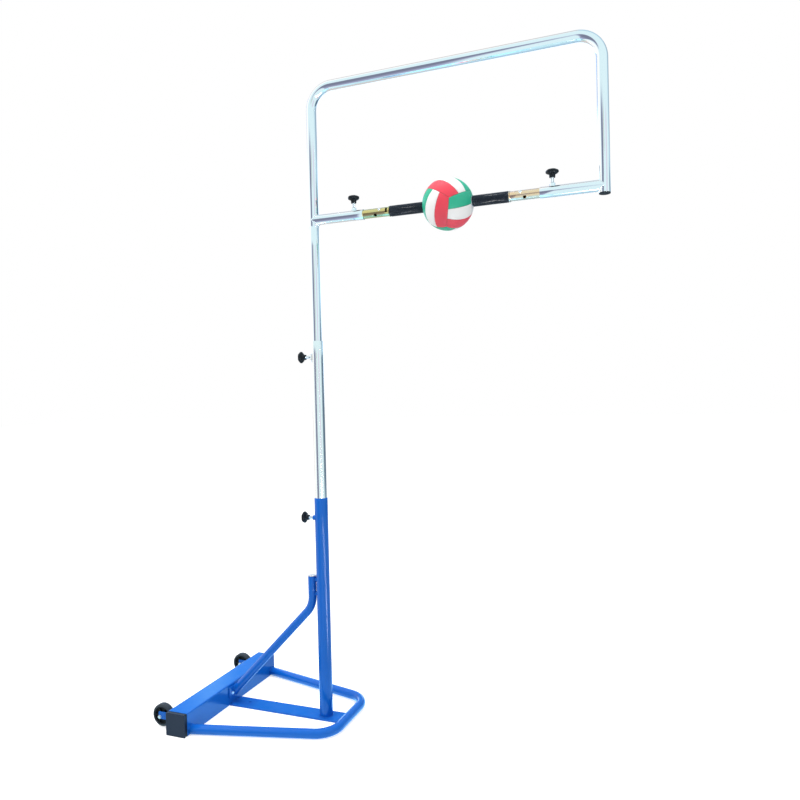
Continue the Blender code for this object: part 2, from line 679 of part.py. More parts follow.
def dome_rivet(centre, out, tube_axis, tube_radius, radius):
    """Return a domed rivet head that fits over the outside of a tube."""
    low = tube_radius - RIVET_SINK
    high = tube_radius + RIVET_RISE * radius
    profile = [(low, 0), (low, radius), (high - RIVET_SHOULDER * radius, radius),
               (high, RIVET_TOP * radius), (high, 0)]
    rivet = turned(profile, centre, out, SMALL_SIDES)
    start = Vector(centre) - Vector(tube_axis) * 2 * radius
    return combine(rivet, rod(start, tube_axis, 4 * radius, tube_radius + GAP))


def arm_pipe(start_x, end_x, saddle_x, knob_x):
    """Return an arm tube, saddled to an upright and drilled for its clamp."""
    arm = pipe((start_x, 0, ARM_Z), X, end_x - start_x, FRAME_RADIUS, FRAME_BORE)
    low = (saddle_x, 0, ARM_Z - 2 * FRAME_RADIUS)
    arm = combine(arm, rod(low, Z, 4 * FRAME_RADIUS, FRAME_RADIUS + GAP))
    return combine(arm, rod((knob_x, 0, ARM_Z), Z, FRAME_RADIUS + CUT, STUD_BORE, SMALL_SIDES))


def build_frame():
    """Upright, the bent hoop on it, two arms, the leg's plug and the nylon foot."""
    foot = (0, 0, FRAME_FOOT)
    ring = glide(foot, Z, MIDDLE_BORE - GAP, FRAME_BORE - 2 * GAP)
    node("frame_glide_ring", "frame_glide", ring, "black_plastic")
    upright = pipe(foot, Z, LEG_FOOT - GAP - FRAME_FOOT, FRAME_RADIUS, FRAME_BORE)
    node("frame_upright", "frame", upright, "chrome")
    corners = [(0, 0, LEG_FOOT), (0, 0, FRAME_TOP), (FRAME_SPAN, 0, FRAME_TOP),
               (FRAME_SPAN, 0, LEG_FOOT)]
    path = rounded_path(corners, FRAME_BEND)
    tube = bent_pipe(path, FRAME_RADIUS, FRAME_BORE, BENT_TUBE_RESOLUTION)
    node("frame_tube", "frame", tube, "chrome")
    left = arm_pipe(ARM_START, ARM_END, 0.0, ARM_KNOB)
    node("arm_left", "frame", left, "chrome")
    far_start = FRAME_SPAN - ARM_START
    right = arm_pipe(FRAME_SPAN - ARM_END, far_start, FRAME_SPAN, FRAME_SPAN - ARM_KNOB)
    node("arm_right", "frame", right, "chrome")
    inner = FRAME_BORE - 2 * GAP
    plug = [(LEG_PLUG_INSERT, 0), (LEG_PLUG_INSERT, inner), (-GAP, inner), (-GAP, FRAME_RADIUS),
            (-LEG_PLUG_RIM, FRAME_RADIUS), (-LEG_PLUG_DEPTH, LEG_PLUG_FACE), (-LEG_PLUG_DEPTH, 0)]
    plug = turned(plug, (FRAME_SPAN, 0, LEG_FOOT), Z, FITTING_SIDES)
    node("leg_plug", "frame", plug, "black_plastic")


def knob_body(start, out, surface):
    """Return a lobed knob head with its collar, bored for the stud."""
    outline = []
    for index in range(KNOB_POINTS):
        angle = 2 * math.pi * index / KNOB_POINTS
        radius = KNOB_RADIUS + KNOB_LOBE_DEPTH * math.cos(KNOB_LOBES * angle)
        outline.append((radius * math.cos(angle), radius * math.sin(angle), surface + KNOB_LOW))
    head = prism(outline, (0, 0, KNOB_HIGH - KNOB_LOW))
    rims = [edge for edge in head.edges if abs(edge.verts[0].co.z - edge.verts[1].co.z) < MERGE]
    bmesh.ops.bevel(head, geom=rims, offset=KNOB_EDGE, segments=1, affect="EDGES")
    low = surface + KNOB_COLLAR
    root = surface + KNOB_LOW + KNOB_COLLAR_SINK
    collar = [(low, 0), (low, KNOB_COLLAR_END), (low + KNOB_COLLAR_CHAMFER, KNOB_COLLAR_EDGE),
              (root, KNOB_COLLAR_ROOT), (root, 0)]
    head = combine(head, turned(collar, (0, 0, 0), Z, SMALL_SIDES), "UNION")
    bore_length = KNOB_HIGH - KNOB_COLLAR - KNOB_COVER + CUT
    head = combine(head, rod((0, 0, low - CUT), Z, bore_length, STUD_BORE, SMALL_SIDES))
    aim(head, start, out)
    return head


def build_clamps():
    """Four clamps, each a boss, a pressure tip, a stud and a lobed knob."""
    for name, (parent, centre, out, outer, inner) in CLAMPS.items():
        low = Vector(centre) + out * (outer - BOSS_SINK)
        boss = pipe(low, out, BOSS_HEIGHT + BOSS_SINK, BOSS_RADIUS, STUD_BORE, FITTING_SIDES)
        along = X if out == Z else Z
        low = Vector(centre) - along * 2 * BOSS_RADIUS
        boss = combine(boss, rod(low, along, 4 * BOSS_RADIUS, outer + GAP))
        look = "blue_paint" if name == "lower" else "zinc"
        node("clamp_boss_" + name, parent, boss, look)
        tip = rod(Vector(centre) + out * (inner + GAP), out, TIP_LENGTH, STUD_RADIUS - GAP, SMALL_SIDES)
        node("clamp_tip_" + name, "tip_" + name, tip, "yellow_zinc")
        begin = inner + TIP_LENGTH + 2 * GAP
        end = outer + KNOB_HIGH - STUD_END_ROOM
        stud = rod(Vector(centre) + out * begin, out, end - begin, STUD_RADIUS, SMALL_SIDES)
        node("clamp_stud_" + name, "knob_" + name, stud, "zinc")
        node("clamp_knob_" + name, "knob_" + name, knob_body(centre, out, outer), "black_plastic")


def mirror_x(bm):
    """Mirror a bmesh about the middle of the frame."""
    bmesh.ops.translate(bm, vec=(-FRAME_SPAN / 2, 0, 0), verts=bm.verts)
    bmesh.ops.scale(bm, vec=(-1, 1, 1), verts=bm.verts)
    bmesh.ops.translate(bm, vec=(FRAME_SPAN / 2, 0, 0), verts=bm.verts)
    bmesh.ops.reverse_faces(bm, faces=bm.faces)
    return bm


def around_sleeve(turn):
    """Return the direction out of a sleeve's front, turned up from the horizontal."""
    return Vector((0, -math.cos(turn), math.sin(turn)))


def sleeve_body(slotted):
    """Return the left sleeve with its cross hole and, by the spring, its slot."""
    length = SLEEVE_OUTER - SLEEVE_INNER
    sleeve = pipe((SLEEVE_INNER, 0, ARM_Z), X, length, SLEEVE_RADIUS, SLEEVE_BORE)
    half = SLEEVE_HOLE_SIZE / 2
    hole = prism([(-half, -half, 0), (half, -half, 0), (half, half, 0), (-half, half, 0)],
                 (0, 0, SLEEVE_RADIUS + CUT))
    aim(hole, (SLEEVE_HOLE, 0, ARM_Z), around_sleeve(SLEEVE_HOLE_TURN))
    sleeve = combine(sleeve, hole)
    if not slotted:
        return sleeve
    height = SLEEVE_RADIUS + CUT - SLEEVE_SLOT_LOW
    centre = (SLEEVE_SLOT, -SLEEVE_RADIUS, ARM_Z + SLEEVE_SLOT_LOW + height / 2)
    return combine(sleeve, block((SLEEVE_SLOT_WIDTH, 2 * SLEEVE_RADIUS, height), centre))


def build_sleeves():
    """Sleeves in the arms, with their nylon rings, rivets and spring seats."""
    bore = SLEEVE_BORE - GAP
    face = GAP + SEAT_FLANGE
    seat = [(-SEAT_INSERT, SEAT_EYE), (-SEAT_INSERT, bore), (GAP, bore), (GAP, SEAT_RADIUS),
            (face, SEAT_RADIUS), (face, SEAT_EYE)]
    up = around_sleeve(SLEEVE_RIVET_TURN)
    for name in ("left", "right"):
        ring = glide((SLEEVE_INNER, 0, ARM_Z), X, SLEEVE_RADIUS, bore)
        sleeve = sleeve_body(name == "left")
        rivet = dome_rivet((SLEEVE_RIVET, 0, ARM_Z), up, X, SLEEVE_RADIUS, SLEEVE_RIVET_RADIUS)
        cup = turned(seat, (SLEEVE_OUTER, 0, ARM_Z), X, FITTING_SIDES)
        pieces = [ring, sleeve, rivet, cup]
        if name == "right":
            pieces = [mirror_x(piece) for piece in pieces]
        node("sleeve_ring_" + name, "sleeve_glides", pieces[0], "black_plastic")
        node("sleeve_" + name, "sleeves", pieces[1], "yellow_zinc")
        node("sleeve_rivet_" + name, "sleeves", pieces[2], "zinc")
        node("spring_seat_" + name, "sleeves", pieces[3], "yellow_zinc")


def spring_points():
    """Return the centre line of the left spring, straight at both ends."""
    start = SLEEVE_OUTER + GAP + SEAT_FLANGE + GAP
    end = FRAME_SPAN / 2 - WASHER_FACE - GAP
    straight = 2 * WIRE_RADIUS
    step_angle = 2 * math.pi / CURL_POINTS
    first = start + straight + SPRING_TURN_IN
    last = end - straight - SPRING_TURN_IN
    steps = int((last - first) / SPRING_PITCH * CURL_POINTS)
    rise = (last - first) / steps
    angles = [(start, 0.0), (start + straight, 0.0)]
    angles += [(first + rise * step, step_angle * (step + SPRING_START_TURN))
               for step in range(steps + 1)]
    final = step_angle * (steps + 2 * SPRING_START_TURN)
    angles += [(end - straight, final), (end, final)]
    return [Vector((x, SPRING_RADIUS * math.cos(a), ARM_Z + SPRING_RADIUS * math.sin(a)))
            for x, a in angles]


def least_gap(points):
    """Return the least distance between turns of the wire, surface to surface."""
    apart = CURL_POINTS // 2
    least = 1.0
    for index, point in enumerate(points):
        for other in points[index + apart:]:
            least = min(least, (point - other).length)
    return least - 2 * WIRE_RADIUS


def build_springs():
    """The two coil springs, each one unbroken tube of wire."""
    points = spring_points()
    curls = (len(points) - 4) / CURL_POINTS
    print(f"spring: {curls:.1f} curls, least gap to itself {least_gap(points) * 1000:.2f} mm")
    node("spring_left", "sleeves", swept(points, WIRE_RADIUS, WIRE_RESOLUTION), "spring_black")
    node("spring_right", "sleeves", mirror_x(swept(points, WIRE_RADIUS, WIRE_RESOLUTION)), "spring_black")


def build_ball():
    """Hollow ball on a threaded spindle with a washer and a nut at each end."""
    first = math.acos(BALL_FLAT / BALL_RADIUS)
    inner_radius = BALL_RADIUS - BALL_WALL
    bore = SPINDLE_RADIUS + GAP
    profile = [(-BALL_FLAT, bore)]
    for ring in range(BALL_RINGS + 1):
        angle = math.pi - first - (math.pi - 2 * first) * ring / BALL_RINGS
        profile.append((BALL_RADIUS * math.cos(angle), BALL_RADIUS * math.sin(angle)))
    profile.append((BALL_FLAT, bore))
    start = math.asin(bore / inner_radius)
    for ring in range(BALL_INNER_RINGS + 1):
        angle = start + (math.pi - 2 * start) * ring / BALL_INNER_RINGS
        profile.append((inner_radius * math.cos(angle), inner_radius * math.sin(angle)))
    node("ball_shell", "ball", turned(profile, BALL_CENTRE, X), "ball_white")
    seat = BALL_FLAT + GAP
    nut = WASHER_FACE + NUT_HEIGHT
    half = [(seat, SPINDLE_RADIUS), (seat, WASHER_RADIUS), (WASHER_FACE, WASHER_RADIUS),
            (WASHER_FACE, NUT_RADIUS), (nut, NUT_RADIUS), (nut, SPINDLE_RADIUS),
            (SPINDLE_HALF, SPINDLE_RADIUS), (SPINDLE_HALF, 0)]
    spindle = [(-along, radius) for along, radius in reversed(half)] + half
    node("ball_spindle", "ball", turned(spindle, BALL_CENTRE, X, FITTING_SIDES), "zinc")


def main():
    """Build every piece."""
    clear_scene()
    build_bodies()
    build_beam()
    build_floor_frame()
    build_lower_mast()
    build_brace()
    build_wheels()
    build_middle_mast()
    build_frame()
    build_clamps()
    build_sleeves()
    build_springs()
    build_ball()
    count = sum(1 for obj in bpy.data.objects if obj.type == "MESH")
    print(f"{count} pieces, mast axis at {MAST_X * 1000:.2f}, {MAST_Y * 1000:.2f} mm")


main()
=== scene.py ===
"""Volleyball spike trainer: every visible piece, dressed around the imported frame.

Lengths are metres. Pieces are drawn from the mast axis at floor level, as in the
part's source, and Body.mesh moves them to the frame's own place. Each class holds
one sub-assembly's sizes and builds its pieces; each Finish holds one surface.
"""
import logging
import math
from dataclasses import dataclass, replace
from enum import Enum
from typing import Any, Callable, Sequence

import bmesh
import bpy
from mathutils import Matrix, Vector


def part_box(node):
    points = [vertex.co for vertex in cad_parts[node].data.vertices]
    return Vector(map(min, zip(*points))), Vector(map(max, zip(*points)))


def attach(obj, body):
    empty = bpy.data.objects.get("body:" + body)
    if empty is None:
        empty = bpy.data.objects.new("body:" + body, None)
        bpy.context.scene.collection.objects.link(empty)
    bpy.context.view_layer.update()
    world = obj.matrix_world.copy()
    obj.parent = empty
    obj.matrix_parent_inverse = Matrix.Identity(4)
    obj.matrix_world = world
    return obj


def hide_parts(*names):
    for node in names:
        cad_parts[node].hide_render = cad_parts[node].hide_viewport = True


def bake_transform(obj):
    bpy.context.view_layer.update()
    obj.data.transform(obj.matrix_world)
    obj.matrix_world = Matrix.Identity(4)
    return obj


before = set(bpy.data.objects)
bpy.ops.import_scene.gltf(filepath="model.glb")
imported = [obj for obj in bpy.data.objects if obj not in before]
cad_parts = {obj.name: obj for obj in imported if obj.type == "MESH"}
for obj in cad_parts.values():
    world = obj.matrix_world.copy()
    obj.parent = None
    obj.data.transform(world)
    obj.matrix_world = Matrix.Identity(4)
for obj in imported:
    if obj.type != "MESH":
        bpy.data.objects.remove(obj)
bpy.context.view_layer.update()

LOG = logging.getLogger("spike_trainer")

Colour = tuple[float, float, float]
Pair = tuple[float, float]

X = Vector((1.0, 0.0, 0.0))
Y = Vector((0.0, 1.0, 0.0))
Z = Vector((0.0, 0.0, 1.0))
TINY = 1e-6
SMOOTH = "SMOOTHSTEP"
DUST_COLOUR = (0.62, 0.60, 0.57)
HAIR = 0.0002
GAP = 0.0003
FULL_TURN = 2 * math.pi
SMOOTH_ANGLE = math.radians(36.0)
BEND_STEP = math.radians(4.0)
FILLET_STEP = math.radians(22.0)
TUBE_SIDES = 56
FITTING_SIDES = 48
MAST_LOW, MAST_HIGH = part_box("lower_mast")
MAST_AT = Vector(((MAST_LOW.x + MAST_HIGH.x) / 2, (MAST_LOW.y + MAST_HIGH.y) / 2, 0.0))


class Slot(Enum):
    """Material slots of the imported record."""

    BLUE_PAINT = "blue_paint"
    CAST_IRON = "cast_iron"
    SLATE_PLASTIC = "slate_plastic"
    GREY_PLASTIC = "grey_plastic"
    ZINC = "zinc_steel"
    CHROME = "chrome_steel"
    YELLOW_ZINC = "yellow_zinc"
    BLACK_PLASTIC = "black_plastic"
    RUBBER = "wheel_rubber"
    SPRING = "spring_black"
    BALL = "ball_leather"


class Named(Enum):
    """A choice whose names are also words in the names of CAD nodes."""

    @property
    def word(self) -> str:
        """The name as the CAD nodes spell it."""
        return self.name.lower()


class Side(Named):
    """Ends of the beam: near the camera, or far from it."""

    NEAR = -1
    FAR = 1


class Hand(Named):
    """The two halves of the spring line, each a mirror image of the other."""

    LEFT = 1
    RIGHT = -1


def link(name: str, data: Any) -> bpy.types.Object:
    """Put a new object in the scene.

    Args:
        name: the object's name.
        data: its mesh, camera or lamp.

    Returns:
        The object.
    """
    item = bpy.data.objects.new(name, data)
    bpy.context.scene.collection.objects.link(item)
    return item


class Graph:
    """Short calls that add nodes to a tree and join them."""

    def __init__(self, tree: bpy.types.NodeTree) -> None:
        """Keep the tree that nodes are added to."""
        self.tree = tree

    def add(self, kind: str, inputs: dict[str, Any] | None = None,
            **settings: Any) -> bpy.types.Node:
        """Add a node, set its properties and feed its inputs.

        Args:
            kind: the node's type name.
            inputs: input name or identifier to a node, a socket or a plain value.
            settings: properties set on the node itself.

        Returns:
            The new node.
        """
        node = self.tree.nodes.new(kind)
        for key, value in settings.items():
            setattr(node, key, value)
        for key, value in (inputs or {}).items():
            self.feed(node, key, value)
        return node

    def feed(self, node: bpy.types.Node, key: str, value: Any) -> None:
        """Join something to a node's input, or set the input's value.

        Args:
            node: the node that takes the value.
            key: the input's identifier or name.
            value: a socket, a node that gives its first output, or a constant.
        """
        found = [socket for socket in node.inputs if socket.identifier == key]
        socket = found[0] if found else node.inputs[key]
        if isinstance(value, bpy.types.Node):
            value = value.outputs[0]
        if isinstance(value, bpy.types.NodeSocket):
            self.tree.links.new(value, socket)
        else:
            socket.default_value = value

    @staticmethod
    def out(node: bpy.types.Node, identifier: str) -> bpy.types.NodeSocket:
        """Return the output that has an identifier."""
        return [socket for socket in node.outputs if socket.identifier == identifier][0]

    def math(self, operation: str, first: Any, second: Any = 0.0) -> bpy.types.NodeSocket:
        """Add a Math node and return its output.

        Args:
            operation: the Math node's operation.
            first: first socket or number.
            second: second socket or number.

        Returns:
            The output socket.
        """
        node = self.add("ShaderNodeMath", operation=operation)
        for socket, value in zip(node.inputs, (first, second)):
            self.feed(node, socket.identifier, value)
        return node.outputs[0]

    def product(self, *values: Any) -> Any:
        """Multiply sockets or numbers.

        Args:
            values: two or more factors.

        Returns:
            The product's socket.
        """
        total = values[0]
        for value in values[1:]:
            total = self.math("MULTIPLY", total, value)
        return total

    def mix(self, factor: Any, first: Any, second: Any) -> bpy.types.NodeSocket:
        """Add a colour Mix node and return its result.

        Args:
            factor: share of the second colour.
            first: first colour or socket.
            second: second colour or socket.

        Returns:
            The mixed colour's socket.
        """
        node = self.add("ShaderNodeMix", data_type="RGBA")
        for key, value in (("Factor_Float", factor), ("A_Color", first), ("B_Color", second)):
            self.feed(node, key, (*value, 1.0) if isinstance(value, tuple) else value)
        return self.out(node, "Result_Color")

    def spread(self, value: Any, low: float, high: float, to_low: float = 0.0,
               to_high: float = 1.0, curve: str = "LINEAR") -> bpy.types.NodeSocket:
        """Add a Map Range node and return its result.

        Args:
            value: the socket that is mapped.
            low: the value that becomes to_low.
            high: the value that becomes to_high.
            to_low: result at low.
            to_high: result at high.
            curve: interpolation of the Map Range node.

        Returns:
            The result's socket.
        """
        inputs = {
            "Value": value, "From Min": low, "From Max": high, "To Min": to_low, "To Max": to_high}
        return self.add("ShaderNodeMapRange", inputs, interpolation_type=curve).outputs[0]

    def band(self, value: Any, centre: Any, half: Any, soft: float) -> bpy.types.NodeSocket:
        """Return a mask that is 1 within half of a centre and fades out over soft."""
        off = self.math("ABSOLUTE", self.math("SUBTRACT", value, centre))
        return self.spread(self.math("SUBTRACT", off, half), 0.0, soft, 1.0, 0.0, SMOOTH)


class SurfaceEffects:
    """Shader node groups that several finishes share, each built once."""

    def __init__(self) -> None:
        """Build the four groups."""
        amount, mask = {"Vector": "Vector", "Amount": "Float"}, {"Mask": "Float"}
        self.wear = self.group("edge_wear", amount, mask, self.draw_wear)
        self.dust = self.group("settled_dust", amount, mask, self.draw_dust)
        self.grain = self.group(
            "surface_grain", {"Vector": "Vector", "Stretch": "Vector", "Scale": "Float"},
            {"Height": "Float"}, self.draw_grain)
        self.tone = self.group(
            "tone_drift", {"Vector": "Vector", "Scale": "Float", "First": "Color",
                           "Second": "Color"}, {"Color": "Color"}, self.draw_tone)

    @staticmethod
    def group(name: str, inputs: dict[str, str], outputs: dict[str, str],
              draw: Callable[[Graph, Any], dict[str, Any]]) -> bpy.types.NodeTree:
        """Make one shader node group.

        Args:
            name: the group's name.
            inputs: socket name to short socket type.
            outputs: socket name to short socket type.
            draw: adds the nodes and returns output name to socket.

        Returns:
            The node group.
        """
        tree = bpy.data.node_groups.new(name, "ShaderNodeTree")
        for in_out, sockets in (("INPUT", inputs), ("OUTPUT", outputs)):
            for label, kind in sockets.items():
                tree.interface.new_socket(label, in_out=in_out, socket_type="NodeSocket" + kind)
        graph = Graph(tree)
        graph.add("NodeGroupOutput", draw(graph, graph.add("NodeGroupInput").outputs))
        return tree

    @staticmethod
    def noise(graph: Graph, vector: Any, scale: Any, detail: float) -> bpy.types.NodeSocket:
        """Add a noise texture and return its factor."""
        inputs = {"Vector": vector, "Scale": scale, "Detail": detail, "Roughness": 0.55}
        return graph.add("ShaderNodeTexNoise", inputs).outputs["Fac"]

    def draw_grain(self, graph: Graph, source: Any) -> dict[str, Any]:
        """Fine relief, drawn out along one axis by the Stretch input.

        Args:
            graph: the group's tree.
            source: the sockets of the group's inputs.

        Returns:
            Output name to socket.
        """
        place = {"Vector": source["Vector"], "Vector_001": source["Stretch"]}
        stretched = graph.add("ShaderNodeVectorMath", place, operation="MULTIPLY")
        return {"Height": self.noise(graph, stretched, source["Scale"], 3.0)}

    def draw_wear(self, graph: Graph, source: Any) -> dict[str, Any]:
        """Bright rubbing on outer edges, broken up by noise.

        Args:
            graph: the group's tree.
            source: the sockets of the group's inputs.

        Returns:
            Output name to socket.
        """
        edge = graph.add("ShaderNodeNewGeometry").outputs["Pointiness"]
        sharp = graph.spread(edge, 0.53, 0.62, curve=SMOOTH)
        patches = graph.spread(self.noise(graph, source["Vector"], 90.0, 4.0), 0.42, 0.62)
        return {"Mask": graph.product(sharp, patches, source["Amount"])}

    def draw_dust(self, graph: Graph, source: Any) -> dict[str, Any]:
        """Thin pale dust on faces that look up.

        Args:
            graph: the group's tree.
            source: the sockets of the group's inputs.

        Returns:
            Output name to socket.
        """
        normal = graph.add("ShaderNodeNewGeometry").outputs["Normal"]
        upward = graph.add("ShaderNodeSeparateXYZ", {"Vector": normal}).outputs["Z"]
        lying = graph.spread(upward, 0.55, 1.0, curve=SMOOTH)
        patches = graph.spread(self.noise(graph, source["Vector"], 14.0, 5.0), 0.3, 0.75)
        return {"Mask": graph.product(lying, patches, source["Amount"])}

    def draw_tone(self, graph: Graph, source: Any) -> dict[str, Any]:
        """Slow drift between two colours over the surface.

        Args:
            graph: the group's tree.
            source: the sockets of the group's inputs.

        Returns:
            Output name to socket.
        """
        clouds = graph.spread(self.noise(graph, source["Vector"], source["Scale"], 2.0), 0.3, 0.7)
        return {"Color": graph.mix(clouds, source["First"], source["Second"])}


@dataclass(frozen=True)
class Finish:
    """One surface: its colours and the amounts of its fine detail.

    Attributes:
        name: the material's name.
        slot: the record's slot that it belongs to; not used.
        colour: main colour, linear.
        drift: colour that the main one drifts to.
        roughness: mean roughness.
        spread: how far roughness varies either way.
        metallic: 1 for bare metal.
        specular: specular level.
        drift_scale: patches of drift to the metre.
        grain: grains to the metre.
        stretch: factors that draw the grain out, least along its length.
        depth: height of the grain.
        wear: strength of wear along edges.
        worn: colour of worn edges.
        dust: strength of dust on top.
    """

    name: str
    slot: Slot
    colour: Colour
    drift: Colour
    roughness: float
    spread: float = 0.04
    metallic: float = 0.0
    specular: float = 0.5
    drift_scale: float = 5.0
    grain: float = 900.0
    stretch: Colour = (1.0, 1.0, 1.0)
    depth: float = 0.00003
    wear: float = 0.0
    worn: Colour = (0.5, 0.5, 0.5)
    dust: float = 0.0

    def material(self, effects: SurfaceEffects) -> bpy.types.Material:
        """Build the material.

        Args:
            effects: the shared shader groups.

        Returns:
            The new material.
        """
        material = bpy.data.materials.new(self.name)
        material.use_nodes = True
        material.diffuse_color = (*self.colour, 1.0)
        graph = Graph(material.node_tree)
        place = graph.add("ShaderNodeTexCoord").outputs["Object"]
        colour = self.base(graph, effects, place)
        for group, amount, over in (
                (effects.wear, self.wear, self.worn), (effects.dust, self.dust, DUST_COLOUR)):
            if amount:
                mask = self.group(graph, group, {"Vector": place, "Amount": amount})
                colour = graph.mix(mask, colour, over)
        grain = self.group(graph, effects.grain, {
            "Vector": place, "Stretch": self.stretch, "Scale": self.grain})
        rough = graph.spread(
            grain, 0.3, 0.7, self.roughness - self.spread, self.roughness + self.spread)
        bump = graph.add("ShaderNodeBump", {
            "Strength": 0.6, "Distance": self.depth, "Height": self.relief(graph, grain, place)})
        for key, value in (("Base Color", colour), ("Roughness", rough), ("Normal", bump),
                           ("Metallic", self.metallic), ("Specular IOR Level", self.specular)):
            graph.feed(material.node_tree.nodes["Principled BSDF"], key, value)
        return material

    @staticmethod
    def group(graph: Graph, tree: bpy.types.NodeTree, inputs: dict[str, Any]) -> Any:
        """Place a shared group and return its first output."""
        return graph.add("ShaderNodeGroup", inputs, node_tree=tree).outputs[0]

    def base(self, graph: Graph, effects: SurfaceEffects, place: Any) -> Any:
        """Colour before wear and dust.

        Args:
            graph: the material's tree.
            effects: the shared shader groups.
            place: socket with the place on the object.

        Returns:
            The colour's socket.
        """
        return self.group(graph, effects.tone, {
            "Vector": place, "Scale": self.drift_scale, "First": (*self.colour, 1.0),
            "Second": (*self.drift, 1.0)})

    def relief(self, graph: Graph, grain: Any, place: Any) -> Any:
        """Return the height's socket for the bump."""
        return grain


@dataclass(frozen=True)
class PassivatedZinc(Finish):
    """Yellow zinc plate, greener on one side of the ball and pinker on the other; a painted sheen
    tints its top and bottom.

    Attributes:
        pink: gold on the free leg's side.
        film_and_sheen: colour of the thin coat patches, and of the painted sheen along the top and
            bottom.
        pale: the same on the free leg's side.
        axis: height of the sleeves' axis.
        middle: x of the ball's centre.
    """

    pink: Colour = (0.98, 0.68, 0.42)
    film_and_sheen: Colour = (0.54, 0.64, 0.38)
    pale: Colour = (0.84, 0.76, 0.64)
    axis: float = 2.140
    middle: float = MAST_AT.x + 0.600

    def base(self, graph: Graph, effects: SurfaceEffects, place: Any) -> Any:
        """Gold that shifts along the line, with patches of thin coat and a painted sheen along the
        top and bottom.

        Args:
            graph: the material's tree.
            effects: the shared shader groups.
            place: socket with the place on the object.

        Returns:
            The colour's socket.
        """
        axes = graph.add("ShaderNodeSeparateXYZ", {"Vector": place}).outputs
        share = graph.spread(axes["X"], self.middle - 0.15, self.middle + 0.15)
        gold = graph.mix(share, self.colour, self.pink)
        clouds = effects.noise(graph, place, self.drift_scale, 4.0)
        patches = graph.spread(clouds, 0.45, 0.68, 0.0, 0.35, SMOOTH)
        # Painted sheen: away from the axis height, the top and bottom of each sleeve take the
        # tinted colour that a grazing reflection would give them.
        off = graph.math("ABSOLUTE", graph.math("SUBTRACT", axes["Z"], self.axis))
        run = graph.spread(off, 0.006, 0.014, curve=SMOOTH)
        film_and_sheen = graph.mix(share, self.film_and_sheen, self.pale)
        return graph.mix(graph.math("MAXIMUM", patches, run), gold, film_and_sheen)


@dataclass(frozen=True)
class PanelLeather(Finish):
    """Pebbled synthetic leather.

    Attributes:
        pebble: pebbles to the metre.
    """

    pebble: float = 620.0

    def relief(self, graph: Graph, grain: Any, place: Any) -> Any:
        """Round pebbles with a little grain on them.

        Args:
            graph: the material's tree.
            grain: the fine relief's socket.
            place: socket with the place on the object.

        Returns:
            The height's socket.
        """
        cells = graph.add("ShaderNodeTexVoronoi", {
            "Vector": place, "Scale": self.pebble, "Smoothness": 0.6}, feature="SMOOTH_F1")
        domes = graph.spread(cells.outputs["Distance"], 0.0, 0.7, 1.0, 0.0, SMOOTH)
        return graph.math("ADD", domes, graph.math("MULTIPLY", grain, 0.3))


